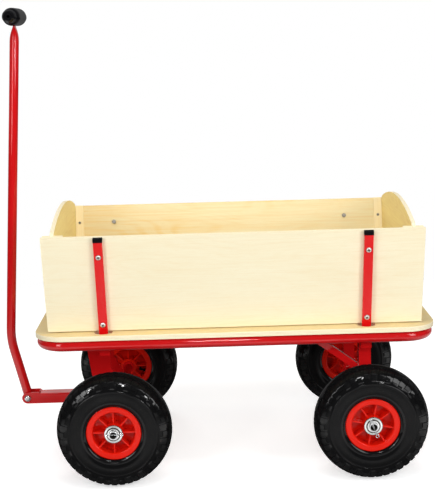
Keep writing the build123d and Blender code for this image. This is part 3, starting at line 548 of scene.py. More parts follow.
def ring_group():
    """An uneven mask of painted shade round an axle: 1 within a third of the width from the radius, and 0
    past the width.
    """
    group, given, result = new_group("Shade ring", {
        "Position": "Vector", "Centre": "Vector", "Radius": "Float", "Width": "Float",
    }, {"Mask": "Float"})
    reach = off_axis(group, given["Position"], given["Centre"])
    uneven = calc(group, "MULTIPLY_ADD", noise(group, given["Position"], 160.0, 2.0), 0.6, -0.3)
    away = calc(group, "ABSOLUTE", calc(group, "SUBTRACT", reach, given["Radius"]))
    share = calc(group, "ADD", calc(group, "DIVIDE", away, given["Width"]), uneven)
    feed(group, result, {"Mask": spread(group, share, 0.35, 1.0, 1.0, 0.0)})
    return group


def bare_ends_group():
    """A mask along Y: 0 on an axle's painted middle and 1 on its plated ends past the start."""
    group, given, result = new_group("Bare ends", {"Position": "Vector", "Start": "Float"}, {"Mask": "Float"})
    out = calc(group, "ABSOLUTE", parts_of(group, given["Position"])["Y"])
    past = calc(group, "SUBTRACT", out, given["Start"])
    feed(group, result, {"Mask": spread(group, past, -0.0003, 0.0003)})
    return group


def use(tree, maker, name, inputs):
    """The results of a shared node group, made at its first use, placed in a material with its own values."""
    group = bpy.data.node_groups.get(name) or maker()
    return put(tree, "ShaderNodeGroup", inputs, node_tree=group).outputs


# Materials


def rgba(value):
    """A colour property as four numbers."""
    return (*value, 1.0)


def new_material(name):
    """An empty node material with its shader, its tree and its texture coordinates."""
    material = bpy.data.materials.new(name)
    tree = empty_tree(material)
    shader = put(tree, "ShaderNodeBsdfPrincipled")
    put(tree, "ShaderNodeOutputMaterial", {"Surface": shader.outputs[0]}, is_active_output=True)
    return material, tree, shader, put(tree, "ShaderNodeTexCoord").outputs


def bumped(tree, strength, distance, height):
    """A Bump node's normal."""
    return put(tree, "ShaderNodeBump", {
        "Strength": strength, "Distance": distance, "Height": height,
    }).outputs[0]


def board_material(name, finish, axes, pale, figure, plies=True, lines=150.0, shift=(0, 0, 0)):
    """Lacquered birch on a board's axes along, across and through it, with its plies on the cut edges.
    The shift takes its figure from elsewhere in the wood."""
    material, tree, shader, coordinates = new_material(name)
    along, across, through = axes
    place = use(tree, board_axes_group, "Board axes", {
        "Position": vector(tree, "ADD", coordinates["Object"], shift), "Normal": coordinates["Normal"],
        "Along": along, "Across": across, "Through": through,
    })
    veneer = use(tree, veneer_group, "Birch veneer", {
        "Position": place["Position"], "Pale": rgba(pale), "Tan": rgba(finish.tan), "Figure": figure,
        "Lines": lines,
    })
    tone = veneer["Color"]
    if plies:
        tone = use(tree, ply_edge_group, "Ply edge", {
            "Position": place["Position"], "Facing": place["Facing"], "Veneer": tone,
            "Light": rgba(finish.pale), "Dark": rgba(finish.edge_dark), "Ply": finish.ply,
        })["Color"]
    feed(tree, shader, {
        "Base Color": tone, "Roughness": veneer["Roughness"],
        "Normal": bumped(tree, 0.12, 0.0004, veneer["Height"]),
        "Specular IOR Level": 0.0, "Coat Weight": 0.16, "Coat Roughness": 0.35,
    })
    return material


def skin_node(tree, where, tone, skin):
    """The results of the sprayed skin's group with the values of a skin."""
    return use(tree, skin_group, "Sprayed skin", {
        "Position": where, "Color": rgba(tone), "Ripple": skin.ripple, "Smooth": skin.smooth,
        "Dull": skin.dull, "Drift": skin.drift, "Gloss": skin.gloss,
    })


def skin_material(name, tone, kind=None, rings=(), centre=(0, 0, 0), film=None, worn=False):
    """Paint, plating, plastic or rubber with a skin of that kind, or of the material's own name.
    A darker film of painted shade covers it on each ring, a radius and a width round the centre's Y axis, or
    else as far as the dirt_and_shade attribute goes: painted shade in recesses and round rims, and grease on
    bolt shanks.
    Where it is worn, that attribute takes away the clear coat instead."""
    material, tree, shader, coordinates = new_material(name)
    skin = SKINS[kind or name]
    look = skin_node(tree, coordinates["Object"], tone, skin)
    shown, coat = look["Color"], look["Coat"]
    for radius, width in rings:
        ring = use(tree, ring_group, "Shade ring", {
            "Position": coordinates["Object"], "Centre": centre, "Radius": radius, "Width": width,
        })
        shown = blend(tree, ring["Mask"], shown, rgba(film))
    if worn or (film and not rings):
        dirt_and_shade = put(tree, "ShaderNodeAttribute", attribute_name="dirt_and_shade").outputs["Fac"]
        if worn:
            coat = calc(tree, "MULTIPLY", coat, calc(tree, "SUBTRACT", 1.0, dirt_and_shade))
        else:
            shown = blend(tree, dirt_and_shade, shown, rgba(film))
    feed(tree, shader, {
        "Base Color": shown, "Roughness": look["Roughness"],
        "Normal": bumped(tree, skin.bump, 0.0003, look["Height"]),
    })
    if skin.gloss:
        feed(tree, shader, {"Coat Weight": coat, "Coat Roughness": skin.sheen, "Specular IOR Level": 0.0})
    else:
        feed(tree, shader, {"Metallic": 1.0})
    return material


def axle_material(name, finish, centre):
    """Red paint on an axle's middle, zinc plating on its ends and painted shade in its bore about the
    centre's Y axis.
    """
    material, tree, shader, coordinates = new_material(name)
    where = coordinates["Object"]
    paint = skin_node(tree, where, finish.red, SKINS["axle_paint"])
    plating = skin_node(tree, where, finish.zinc, SKINS["axle_zinc"])
    bare = use(tree, bare_ends_group, "Bare ends", {"Position": where, "Start": AXLE_PAINT})["Mask"]
    # Painted shade: the inside of the bore is dark
    bore = spread(tree, off_axis(tree, where, centre), AXLE_BORE, AXLE_BORE + 0.0002, 1.0, 0.0)
    tone = blend(tree, bare, paint["Color"], plating["Color"])
    change = calc(tree, "SUBTRACT", plating["Roughness"], paint["Roughness"])
    feed(tree, shader, {
        "Base Color": blend(tree, bore, tone, rgba(finish.grease_and_shade)),
        "Roughness": calc(tree, "MULTIPLY_ADD", change, bare, paint["Roughness"]),
        "Metallic": calc(tree, "SUBTRACT", bare, bore, clamp=True),
        "Specular IOR Level": 0.0,
    })
    return material


def red_paint(scene):
    """Gloss red paint, made once."""
    return bpy.data.materials.get("red_paint") or skin_material("red_paint", scene.wagon_metal.red)


def bright_zinc(scene):
    """Bright zinc plating, made once."""
    metal = scene.wagon_metal
    made = bpy.data.materials.get("zinc_plating")
    return made or skin_material("zinc_plating", metal.zinc, film=metal.grease_and_shade)


def dress_node(name, material):
    """Gives a material to one CAD node."""
    for place in nodes[name].material_slots:
        place.material = material


def dress(slot, material):
    """Gives a material to every CAD node with that slot of the record."""
    for name in nodes:
        if slot_of[name] == slot:
            dress_node(name, material)


# Shapes of this wagon


def tyre_shell(shape):
    """A tyre about the Y axis: a closed section carried round by x = r cos a, z = r sin a.
    Half the section is a wall arc and then a crown arc, with a ridge by the rim and a fine line on the wall.
    Blocks are where a square wave round the tyre is up, and along the middle rib: there the skin keeps its
    place or moves out, and between them it sinks."""
    wall_r, wall_y, wall_arc = 0.09075, -0.02314, 0.06464
    crown_r, crown_arc = 0.06882, 0.06118
    tread_r, tread_y = 0.1032, 0.0160
    long_end, short_end = 0.1039, 0.1099
    shoulder_y, teeth_y, rib_y = 0.0182, 0.0150, 0.0112
    ridge_r, ridge_wide, ridge_high = 0.0682, 0.0016, 0.0014
    line_r, line_wide, line_high = 0.0990, 0.0002, 0.0005
    bead_r = 0.0720

    # Where the section has points: radii up the wall, then distances from the middle over the crown
    reach = np.array([
        62.8, 64.0, 65.4, 66.8, 68.2, 69.6, 71.2, 74, 79, 84, 89, 94, 98.2, 99, 99.8, 102.6, 103.4, 104.4,
        107, 109.6, 110.4, 112, 114.5, 117, 118.6,
    ]) / 1000
    across = np.array([34.4, 33, 30, 26, 22, 18.6, 17.8, 15.4, 14.6, 11.6, 10.8, 5, 0]) / 1000
    wall_width = wall_y + np.sqrt(wall_arc**2 - (reach - wall_r) ** 2)
    crown_reach = crown_r + np.sqrt(crown_arc**2 - across**2)
    r = np.concatenate([reach, crown_reach])[:, None]
    y = np.concatenate([wall_width, across])[:, None]
    out_r = np.concatenate([(reach - wall_r) / wall_arc, (crown_reach - crown_r) / crown_arc])[:, None]
    out_y = np.concatenate([(wall_width - wall_y) / wall_arc, across / crown_arc])[:, None]
    on_wall = np.arange(len(r))[:, None] < len(reach)

    # Places round the tyre, in pitches of the shoulder blocks: where the blocks' sides rise and fall
    stops = np.array([0.0, 0.10, 0.15, 0.20, 0.31, 0.36, 0.45, 0.55, 0.64, 0.69, 0.80, 0.85, 0.92])
    turn = (np.arange(shape.lugs)[:, None] + stops).ravel()
    part, count = turn % 1, np.floor(turn)
    shoulder = ramp(np.minimum(part - 0.15, 0.85 - part), 0, 0.05)
    middle = ramp(np.maximum(0.36 - part, part - 0.64), 0, 0.05)

    # Blocks of the half section: long and short ends in turn on the wall, and a broad rib with a toothed edge
    start = np.where(count % 2 == 0, long_end, short_end)
    outer = np.where(on_wall, r > start, y > shoulder_y)
    teeth = ~on_wall & (y < teeth_y)
    rib = ~on_wall & (y < rib_y)
    block = np.maximum(np.maximum(shoulder * outer, middle * teeth), rib)

    rise = shape.rise * np.where(on_wall, ramp(r, tread_r, 0.003), ramp(y, tread_y, 0.012))
    sink = shape.groove * np.where(on_wall, 0.4 * ramp(r, tread_r, 0.014), np.where(y > tread_y, 0.45, 1.0))
    ridge = ridge_high * np.exp(-(((r - ridge_r) / ridge_wide) ** 2))
    ridge = ridge + line_high * (np.abs(r - line_r) < line_wide)
    push = rise * block - sink * (1 - block) + np.where(on_wall, ridge, 0)
    lean = shape.slant * np.where(on_wall, 1.0, np.clip(y / 0.035, 0, 1))
    half_r, half_y = r + out_r * push, y + out_y * push
    half_turn = 2 * np.pi / shape.lugs * (turn + lean)

    # How matt each part is: the wall, the blocks each by a fixed chance, the bead by the rim and the crown
    rubbed = 0.28 + 0.44 * (np.sin(78.2 * count) * 437.58 % 1)
    matt = np.where(on_wall, np.where(r < bead_r, 0.5, np.where(r > start, rubbed, 0.75)), 0.9)

    # The seat inside the rim, then the half section and its mirror
    seat_r = np.array([[54.0], [62.8]]) / 1000 + 0 * turn
    seat_y = np.array([[24.6], [25.0]]) / 1000 + 0 * turn
    radius, width = np.concatenate([seat_r, half_r]), np.concatenate([seat_y, half_y])
    around, matt = (np.concatenate([rows[:1], rows[:1], rows]) for rows in (half_turn, matt))
    width = np.concatenate([width, -width[-2::-1]])
    radius, around, matt = (np.concatenate([rows, rows[-2::-1]]) for rows in (radius, around, matt))
    points = np.stack([radius * np.cos(around), width, radius * np.sin(around)], axis=-1)
    return shell_of(points, grid_quads(*radius.shape, True, True), matt)


def grip_shell(half, radius, shape):
    """A grip turned about the third axis, half long each way. Its radius is the middle's, less the step,
    which comes in as a tanh of the way from the middle, and less the groove, a bell curve. The ends are
    rounded as an ellipse, and each end face has a sunk ring and a blind hole. All but the ends is rubbed
    matt."""
    step_at, groove_at, rounded = 0.057, 0.064, 0.014
    bore, deep = shape.hole / 2, 0.015
    ring, ring_deep = (0.0052, 0.0058, 0.0078, 0.0084), 0.0010
    sides = 64
    height = np.linspace(-half, half, 121)
    away = np.abs(height)
    thinner = shape.step * (0.5 + 0.5 * np.tanh((away - step_at) / 0.007))
    grooved = shape.groove * np.exp(-(((away - groove_at) / 0.006) ** 2))
    rounding = np.sqrt(1 - (np.clip(away - half + rounded, 0, None) / (1.25 * rounded)) ** 2)
    outer = np.stack([(radius - thinner - grooved) * rounding, height], axis=-1)
    face = np.array([
        (0.0, half - deep), (bore, half - deep), (bore, half), (ring[0], half), (ring[1], half - ring_deep),
        (ring[2], half - ring_deep), (ring[3], half),
    ])
    profile = np.concatenate([face * (1, -1), outer, face[::-1]])
    points, quads, _ = turned(profile, sides)
    matt = 0.86 * ramp(half - np.abs(profile[:, 1]), 0.003, 0.006)
    return points, quads, np.repeat(matt, sides)


def side_frame(sign):
    """A side board's outer face: origin at its foot, with directions up its slope and outwards."""
    foot = Vector((node_middle("floor_board").x, sign * FOOT_Y, FOOT_Z))
    up = Vector((0, sign * math.sin(FLARE), math.cos(FLARE)))
    out = Vector((0, sign * math.cos(FLARE), -math.sin(FLARE)))
    return foot, up, out


def on_side(face, x, rise, depth, way, spin):
    """A frame on a side board's face, x along it, rise up it and depth outwards.
    It faces outwards times way and is turned by spin."""
    foot, up, out = face
    along = Vector((1, 0, 0))
    turned_up = up * math.cos(spin) + along * math.sin(spin)
    return axes_at(foot + along * x + up * rise + out * depth, out * way, turned_up)


# Steps


class WAGON_OT_boards(bpy.types.Operator):
    """Lacquered birch on the floor, sides, ends and battens"""

    bl_idname = "wagon.boards"
    bl_label = "Boards and battens"

    def execute(self, context):
        finish = context.scene.wagon_boards
        x, y, z = (1, 0, 0), (0, 1, 0), (0, 0, 1)
        # The floor, end boards and right side board take darker, yellower colours than the left side board:
        # painted shade and painted bounce light inside the box, and partly the right board's own tone
        dress_node("floor_board", board_material("birch_floor_shaded", finish, (x, y, z), finish.floor, figure=0.75))
        ends = board_material("birch_ends_bounce_lit", finish, (y, z, x), finish.ends, figure=0.8)
        dress_node("front_end_board", ends)
        dress_node("rear_end_board", ends)
        sides = {
            "left": {"pale": finish.pale, "figure": 0.28},
            "right": {"pale": finish.right_tone_and_shade, "figure": 1.25, "shift": (1.4, 0, 0)},
        }
        for side, sign in SIDES.items():
            _, up, out = side_frame(sign)
            board = board_material(f"birch_{side}_side", finish, (x, up, out), **sides[side])
            strip = board_material(
                f"strip_{side}", finish, (up, x, out), finish.strip, figure=0.5, plies=False, lines=60.0
            )
            dress_node(f"{side}_side_board", board)
            dress_node(f"{side}_inner_battens", strip)
            dress_node(f"{side}_outer_battens", strip)
        return {"FINISHED"}


class WAGON_OT_steel(bpy.types.Operator):
    """Gloss red paint and zinc plating on the steel nodes"""

    bl_idname = "wagon.steel"
    bl_label = "Painted and plated steel"

    def execute(self, context):
        metal = context.scene.wagon_metal
        dress("red_steel", red_paint(context.scene))
        dress("zinc_steel", bright_zinc(context.scene))
        # Painted light: the stakes get a brighter copy of the red paint
        stake = skin_material("lit_stake_paint", metal.stake)
        for end in AXLES:
            axle = f"{end}_axle"
            dress_node(axle, axle_material(f"{axle}_steel", metal, node_middle(axle)))
            for side in SIDES:
                dress_node(f"{side}_{end}_stake", stake)
        return {"FINISHED"}


class WAGON_OT_plastics(bpy.types.Operator):
    """Rims, hub bushes, valves and caps"""

    bl_idname = "wagon.plastics"
    bl_label = "Plastic and small rubber"

    def execute(self, context):
        finish = context.scene.wagon_plastics
        # Painted shade: a dark ring on the rim's outer edge by the tyre
        edge_shade_ring = [(0.0645, 0.0020)]  # radius and width of the ring
        for end in AXLES:
            rim = skin_material(
                f"{end}_rim_plastic_edge_shaded", finish.rim, "rim_plastic_edge_shaded", edge_shade_ring, node_middle(f"{end}_axle"),
                finish.rim_edge_shade,
            )
            for side in SIDES:
                dress_node(f"{end}_{side}_rim", rim)
        dress("black_plastic", skin_material("black_moulding", finish.black))
        dress("nylon", skin_material("nylon_moulding", finish.nylon))
        dress("valve_rubber", skin_material("valve_rubber", finish.rubber))
        return {"FINISHED"}


class WAGON_OT_tyres(bpy.types.Operator):
    """Four treaded tyres in place of the plain solids"""

    bl_idname = "wagon.tyres"
    bl_label = "Treaded tyres"

    def execute(self, context):
        rubber = skin_material("tyre_rubber", context.scene.wagon_plastics.rubber, worn=True)
        points, quads, matt = tyre_shell(context.scene.wagon_tyres)
        for corner in CORNERS:
            plain = f"{corner}_tyre"
            shell = points + np.array(node_middle(plain)), quads, matt
            dress_node(plain, rubber)
            new_piece(f"{corner}_treaded_tyre", shell, rubber, f"{corner}_wheel", [plain])
        return {"FINISHED"}


class WAGON_OT_fasteners(bpy.types.Operator):
    """Cross-recessed bolts with their nuts, and batten screws, on both side boards"""

    bl_idname = "wagon.fasteners"
    bl_label = "Bolts and screws"

    def execute(self, context):
        shape, metal = context.scene.wagon_fasteners, context.scene.wagon_metal
        # Both zincs darken with painted shade in the heads' cross recesses and round their rims, and with
        # grease on the bolt shanks
        fresh = skin_material("bolt_zinc", metal.bright, film=metal.grease_and_shade)
        dull = skin_material("dull_zinc", metal.dull, film=metal.grease_and_shade)
        head, shank, nut = self.bolt(shape)
        screw = cross_head(shape.screw_head / 2, dome=0.0010, arm=0.17, depth=0.0008)
        tip_r, tip_straight, tip_end = 0.002, 0.0120, 0.0135
        tip = turned([(0, 0.0), (tip_r, 0.0), (tip_r, -tip_straight), (0, -tip_end)], 12)

        # Rows of bolts by their height up the board and the turn of their cross, and places of the screws
        bolt_rows = ((0.019, 0.5), (0.185, -0.2))
        screw_columns, screw_rows = (0.388, 0.416), (0.045, 0.184)
        for side, sign in SIDES.items():
            face, body = side_frame(sign), f"{side}_side"
            bolts = [
                on_side(face, x, rise, STAKE_DEPTH, 1, spin)
                for x in (-STAKE_X, STAKE_X) for rise, spin in bolt_rows
            ]
            screws = [
                on_side(face, end * x, rise, -2 * BOARD, -1, 9 * x + end)
                for x in screw_columns for end in (-1, 1) for rise in screw_rows
            ]
            heads = gather([set_in(place, part) for place in bolts for part in (head, shank)])
            nuts = gather([set_in(place, nut) for place in bolts])
            screws = gather([set_in(place, part) for place in screws for part in (screw, tip)])
            new_piece(f"{side}_cross_bolts", heads, fresh, body, [f"{side}_stake_bolts"])
            new_piece(f"{side}_bolt_nuts", nuts, dull, body)
            new_piece(f"{side}_cross_screws", screws, dull, body, [f"{side}_batten_screws"])
        return {"FINISHED"}

    def bolt(self, shape):
        """A stake bolt's head, greasy shank and nut, about the third axis and from the stake's outer face."""
        shank_r, nut_r, nut_height = 0.003, 0.005, 0.004
        proud, bevel = 0.0002, 0.0006
        seat = STAKE_DEPTH + BOARD
        top = seat + nut_height
        end = top + proud
        head = cross_head(shape.bolt_head / 2, shape.bolt_dome, arm=0.15, depth=0.0020)
        points, quads, _ = turned([
            (0, proud), (shank_r, proud), (shank_r, bevel - end), (shank_r - bevel, -end), (0, -end),
        ], 16)
        shank = shell_of(points, quads, np.full(len(points), 0.65))
        nut = turned([
            (0, -seat), (nut_r, -seat), (nut_r, 0.0008 - top), (nut_r - 0.0004, -top), (0, -top),
        ], 36, 6)
        return head, shank, nut


class WAGON_OT_hubs(bpy.types.Operator):
    """Rounded washers and wire split pins that keep the wheels on"""

    bl_idname = "wagon.hubs"
    bl_label = "Hub washers and split pins"

    def execute(self, context):
        scene = context.scene
        metal = scene.wagon_metal
        bore, pin_y, pin_tail, pin_eye = 0.01005, 0.3054, 0.018, 0.0034
        plates = [
            washer(bore, outer=0.021, low=0.2993, high=0.3018, curve=0.0009),
            washer(bore, outer=0.014, low=0.30185, high=0.30385, curve=0.0008),
        ]
        # Painted shade: dark rings at the washers' edges and round the bore, where shade falls between the
        # parts
        shade_rings = [(0.0147, 0.0020), (0.0208, 0.0012), (0.0098, 0.0008)]  # radius and width of each ring
        for (end, body), pin_turn, pin_head in zip(AXLES.items(), (0.0, math.radians(69)), (0.018, 0.024)):
            axle = node_middle(f"{end}_axle")
            pin = split_pin(scene.wagon_fasteners.wire, pin_tail, pin_head, pin_eye)
            plating = skin_material(
                f"{end}_washer_zinc_shaded", metal.bright, "washer_zinc_shaded", shade_rings, axle, metal.grease_and_shade
            )
            eye = Vector((math.cos(pin_turn), 0, -math.sin(pin_turn)))
            across = Matrix((eye, eye.cross(Vector((0, 1, 0))), (0, 1, 0))).transposed().to_4x4()
            rings, pins = [], []
            for sign in SIDES.values():
                place = axes_at(axle, (0, sign, 0), (0, 0, 1))
                rings += [set_in(place, plate) for plate in plates]
                across.translation = axle + Vector((0, sign * pin_y, 0))
                pins.append(set_in(np.array(across), pin))
            for name, shells, material, plain in (
                ("hub_washers", rings, plating, "axle_washers"),
                ("wire_pins", pins, bright_zinc(scene), "axle_split_pins"),
            ):
                new_piece(f"{end}_{name}", gather(shells), material, body, [f"{end}_{plain}"])
        return {"FINISHED"}


class WAGON_OT_grip(bpy.types.Operator):
    """A moulded pull grip with three bulges in place of the plain solid"""

    bl_idname = "wagon.grip"
    bl_label = "Pull grip"

    def execute(self, context):
        scene = context.scene
        low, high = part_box("t_grip")
        plastic = skin_material("grip_moulding", scene.wagon_plastics.black, worn=True)
        place = axes_at(node_middle("t_grip"), (0, 1, 0), (0, 0, 1))
        shell = grip_shell((high.y - low.y) / 2, (high.x - low.x) / 2, scene.wagon_grip)
        new_piece("moulded_grip", set_in(place, shell), plastic, "handle", ["t_grip"])
        return {"FINISHED"}


class WAGON_OT_welds(bpy.types.Operator):
    """Painted weld beads where the tubes and plates meet"""

    bl_idname = "wagon.welds"
    bl_label = "Weld beads"

    def execute(self, context):
        thickness, ripple = context.scene.wagon_fasteners.weld, 0.16
        red = red_paint(context.scene)
        turn = np.arange(72) * 2 * np.pi / 72
        across, level = np.cos(turn), np.sin(turn)
        none = 0 * turn
        bed, truck = [], []

        def ring(group, path, outward):
            """A closed bead on a path, with its outward directions."""
            group.append(swept(np.stack(path, axis=-1), np.stack(outward, axis=-1), thickness, True, ripple))

        # Saddle curves where each cross member meets the frame's long sides
        low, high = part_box("frame_tube")
        tube_z, rail = (low.z + high.z) / 2, high.y - FRAME_R
        rail_r, cross_r = FRAME_R + 0.0005, CROSS_R + 0.0002
        front, rear = node_middle("front_axle"), node_middle("rear_axle")
        kingpin = node_middle("thrust_ring").x
        brace_cross = node_middle("floor_board").x + 0.166
        head_gap, post_gap = 0.055, 0.035
        for x in (
            kingpin - head_gap, kingpin + head_gap, brace_cross, rear.x - post_gap, rear.x + post_gap,
        ):
            for side in SIDES.values():
                seat = side * (rail - np.sqrt(rail_r**2 - (cross_r * level) ** 2))
                ring(bed, [x + cross_r * across, seat, tube_z + cross_r * level], [across, none, level])

        # Rings round the axles, against the rear posts and the fork's cheeks
        axle_r = AXLE_R + 0.0004
        inner, outer = POST_Y - POST_HALF, POST_Y + POST_HALF
        for group, axle, places in (
            (bed, rear, (-outer, -inner, inner, outer)), (truck, front, (-FORK_Y, FORK_Y)),
        ):
            for y in places:
                path = [axle.x + axle_r * across, y + none, axle.z + axle_r * level]
                ring(group, path, [across, none, level])

        # Square rings round the posts under their pads, and round the braces on the posts
        square = np.minimum(1 / np.maximum(np.abs(across), np.abs(level)), 1.30)
        wide, high_z = square * across, square * level
        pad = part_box("left_rear_post")[1].z - POST_PAD
        brace_low, brace_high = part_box("left_rear_brace")
        brace_half, brace_foot = 0.008, 0.0100
        for side in SIDES.values():
            y = side * POST_Y
            ring(bed, [rear.x + POST_HALF * wide, y + POST_HALF * high_z, pad + none], [across, level, none])
            brace_z = brace_low.z + brace_foot + brace_foot * high_z
            ring(bed, [brace_high.x + none, y + brace_half * wide, brace_z], [none, across, level])

        # One bead over the drawbar where it meets the fork's web
        low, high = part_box("drawbar")
        top, bevel = low.z + DRAWBAR_HEIGHT, 0.002
        half = np.array([(DRAWBAR_HALF, low.z), (DRAWBAR_HALF, top - bevel), (DRAWBAR_HALF - bevel, top)])
        corners = np.concatenate([half * (-1, 1), half[::-1]])
        run = np.concatenate([[0], np.cumsum(np.linalg.norm(np.diff(corners, axis=0), axis=1))])
        share = np.linspace(0, run[-1], 90)
        side_y, rise_z = np.interp(share, run, corners[:, 0]), np.interp(share, run, corners[:, 1])
        path = np.stack([high.x + 0 * share, side_y, rise_z], axis=-1)
        forward = np.broadcast_to((-1.0, 0.0, 0.0), path.shape)
        truck.append(swept(path, forward, thickness, False, ripple, thickness))

        new_piece("bed_welds", gather(bed), red, "bed")
        new_piece("truck_welds", gather(truck), red, "front_truck")
        return {"FINISHED"}


class WAGON_OT_studio(bpy.types.Operator):
    """White floor, soft light and the camera"""

    bl_idname = "wagon.studio"
    bl_label = "Studio"

    def execute(self, context):
        scene, setup = context.scene, context.scene.wagon_studio
        scene.view_settings.view_transform = "Standard"
        self.room(scene, setup)
        self.floor(scene, setup)
        self.lamps(scene, setup)
        self.camera(scene, setup)
        return {"FINISHED"}

    def room(self, scene, setup):
        """A room with a white backdrop, which the camera sees. Reflections see it ahead and dimmer behind."""
        scene.world = bpy.data.worlds.new("white_room")
        tree = empty_tree(scene.world)
        path = put(tree, "ShaderNodeLightPath").outputs
        ahead = parts_of(tree, put(tree, "ShaderNodeTexCoord").outputs["Generated"])["Y"]
        backdrop = spread(tree, ahead, 0.2, 0.8, setup.behind, 1.0)
        through = calc(tree, "MAXIMUM", path["Is Camera Ray"], path["Is Transmission Ray"])
        plain = spread(tree, through, 0.0, 1.0, setup.ambient, 1.0)
        strength = mix(tree, path["Is Glossy Ray"], plain, backdrop)
        room = put(tree, "ShaderNodeBackground", {"Color": (1, 1, 1, 1), "Strength": strength})
        put(tree, "ShaderNodeOutputWorld", {"Surface": room.outputs[0]})

    def floor(self, scene, setup):
        """A white floor that keeps a share of the object's shadow and is plain white far from it.
        Reflections see a painted shadow on it under the object, and see it dimmer far to the sides and
        towards the camera."""
        reach, near, far, white, grey = 14.0, 0.8, 2.0, 0.8, 0.4
        x, y = np.meshgrid((-reach, reach), (-reach, reach), indexing="ij")
        mesh = bpy.data.meshes.new("studio_floor")
        mesh.from_pydata(np.stack([x, y, 0 * x], axis=-1).reshape(-1, 3).tolist(), [], [[0, 2, 3, 1]])
        floor = bpy.data.objects.new("studio_floor", mesh)
        scene.collection.objects.link(floor)
        material = bpy.data.materials.new("white_floor")
        mesh.materials.append(material)
        tree = empty_tree(material)

        # 1 for a ray from the camera, a reflection or a transmission, and 0 for diffuse light
        path = put(tree, "ShaderNodeLightPath").outputs
        seen = calc(tree, "MAXIMUM", path["Is Camera Ray"], path["Is Glossy Ray"])
        seen = calc(tree, "MAXIMUM", seen, path["Is Transmission Ray"])

        # What reflections see of it, with a painted shadow under the object
        place = put(tree, "ShaderNodeTexCoord").outputs["Object"]
        parts = parts_of(tree, place)
        side, depth = (calc(tree, "ABSOLUTE", parts[axis]) for axis in "XY")
        wide = spread(tree, side, 1.0, 2.2, 1.0, setup.behind)
        paper = calc(tree, "MULTIPLY", wide, spread(tree, parts["Y"], -1.8, -0.6, setup.behind, 1.0))
        # Painted shadow: reflections see the floor darker under the object
        inside = spread(tree, side, 0.45, 0.75, 1.0, 0.0)
        under = calc(tree, "MULTIPLY", inside, spread(tree, depth, 0.40, 0.62, 1.0, 0.0))
        paper = calc(tree, "MULTIPLY", paper, calc(tree, "MULTIPLY_ADD", under, -0.8, 1.0))
        shown = mix(tree, path["Is Glossy Ray"], 1.0, paper)

        # Paint, which takes the light and the shadow, and a glow that takes its place away from the object
        away = size_of(tree, "LENGTH", place)
        paint = mix(tree, seen, grey, spread(tree, away, near, far, white, 0.0))
        glow = calc(tree, "MULTIPLY", seen, spread(tree, away, near, far, setup.glow, 1.0))
        lit = put(tree, "ShaderNodeBsdfDiffuse", {"Color": calc(tree, "MULTIPLY", paint, shown)})
        light = put(tree, "ShaderNodeEmission", {
            "Color": (1, 1, 1, 1), "Strength": calc(tree, "MULTIPLY", glow, shown),
        })
        both = put(tree, "ShaderNodeAddShader", {0: lit.outputs[0], 1: light.outputs[0]})
        put(tree, "ShaderNodeOutputMaterial", {"Surface": both.outputs[0]})

    def lamps(self, scene, setup):
        """A softbox and a small lamp on each side of the camera, a lamp over it, and softboxes overhead and
        behind. The one behind stays out of reflections."""
        target = Vector((0, 0, 0.35))
        for name, place, wide, tall, watts in (
            ("left_softbox", (-1.75, -2.6, 1.4), 0.7, 1.9, setup.left_power),
            ("right_softbox", (1.9, -2.4, 1.45), 1.1, 2.0, setup.right_power),
            ("left_lamp", (-1.6, -3.0, 1.3), 0.14, 0.14, setup.lamp_power),
            ("front_lamp", (0.05, -2.8, 1.7), 0.30, 0.18, setup.front_power),
            ("right_lamp", (1.0, -2.9, 0.8), 0.14, 0.14, setup.lamp_power),
            ("top_softbox", (0.05, -0.8, 2.6), 1.8, 0.6, setup.top_power),
            ("back_softbox", (-0.3, 2.9, 1.9), 1.8, 1.4, setup.back_power),
        ):
            lamp = bpy.data.lights.new(name, "AREA")
            lamp.shape, lamp.size, lamp.size_y, lamp.energy = "RECTANGLE", wide, tall, watts
            light = bpy.data.objects.new(name, lamp)
            aim = (target - Vector(place)).to_track_quat("-Z", "Y").to_matrix().to_4x4()
            light.matrix_world = Matrix.Translation(place) @ aim
            light.visible_glossy = name != "back_softbox"
            scene.collection.objects.link(light)

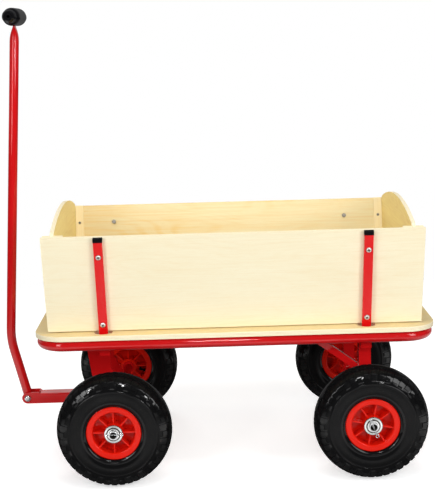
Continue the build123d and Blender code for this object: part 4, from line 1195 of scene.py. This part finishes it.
    def camera(self, scene, setup):
        """The camera at the photograph's place, turned by its yaw, pitch and roll."""
        lens = bpy.data.cameras.new("photo_camera")
        lens.sensor_fit, lens.sensor_height, lens.lens = "VERTICAL", 36.0, setup.lens
        lens.shift_x, lens.shift_y, lens.clip_end = -0.0223, 0.0102, 100.0
        camera = bpy.data.objects.new("photo_camera", lens)
        level = math.cos(setup.pitch)
        ahead = Vector((math.sin(setup.yaw) * level, math.cos(setup.yaw) * level, -math.sin(setup.pitch)))
        right = ahead.cross(Vector((0, 0, 1))).normalized()
        up = right.cross(ahead)
        across = right * math.cos(setup.roll) - up * math.sin(setup.roll)
        upward = right * math.sin(setup.roll) + up * math.cos(setup.roll)
        turn = Matrix((across, upward, -ahead)).transposed().to_4x4()
        camera.matrix_world = Matrix.Translation(setup.camera_place) @ turn
        scene.collection.objects.link(camera)
        scene.camera = camera


class WAGON_PT_panel(bpy.types.Panel):
    """The wagon's steps and sizes"""

    bl_idname = "WAGON_PT_panel"
    bl_label = "Hand wagon"
    bl_space_type = "VIEW_3D"
    bl_region_type = "UI"
    bl_category = "Wagon"

    def draw(self, context):
        column = self.layout.column()
        for step in STEPS:
            column.operator(step.bl_idname)
        for name, settings in GROUPS.items():
            for key in settings.__annotations__:
                column.prop(getattr(context.scene, name), key)


GROUPS = {
    "wagon_boards": BoardFinish,
    "wagon_metal": MetalFinish,
    "wagon_plastics": PlasticFinish,
    "wagon_tyres": TyreShape,
    "wagon_fasteners": FastenerShape,
    "wagon_grip": GripShape,
    "wagon_studio": StudioSetup,
}
STEPS = (
    WAGON_OT_boards, WAGON_OT_steel, WAGON_OT_plastics, WAGON_OT_tyres, WAGON_OT_fasteners, WAGON_OT_hubs,
    WAGON_OT_grip, WAGON_OT_welds, WAGON_OT_studio,
)


def register():
    """Registers the settings, the steps and the panel."""
    for kind in (*GROUPS.values(), *STEPS, WAGON_PT_panel):
        bpy.utils.register_class(kind)
    for name, kind in GROUPS.items():
        setattr(bpy.types.Scene, name, PointerProperty(type=kind))


def unregister():
    """Takes away what register added."""
    for name in GROUPS:
        delattr(bpy.types.Scene, name)
    for kind in (WAGON_PT_panel, *reversed(STEPS), *reversed(GROUPS.values())):
        bpy.utils.unregister_class(kind)


def main():
    """Registers the add-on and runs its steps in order."""
    register()
    bpy.ops.wagon.boards()
    bpy.ops.wagon.steel()
    bpy.ops.wagon.plastics()
    bpy.ops.wagon.tyres()
    bpy.ops.wagon.fasteners()
    bpy.ops.wagon.hubs()
    bpy.ops.wagon.grip()
    bpy.ops.wagon.welds()
    bpy.ops.wagon.studio()


if __name__ == "__main__":
    main()
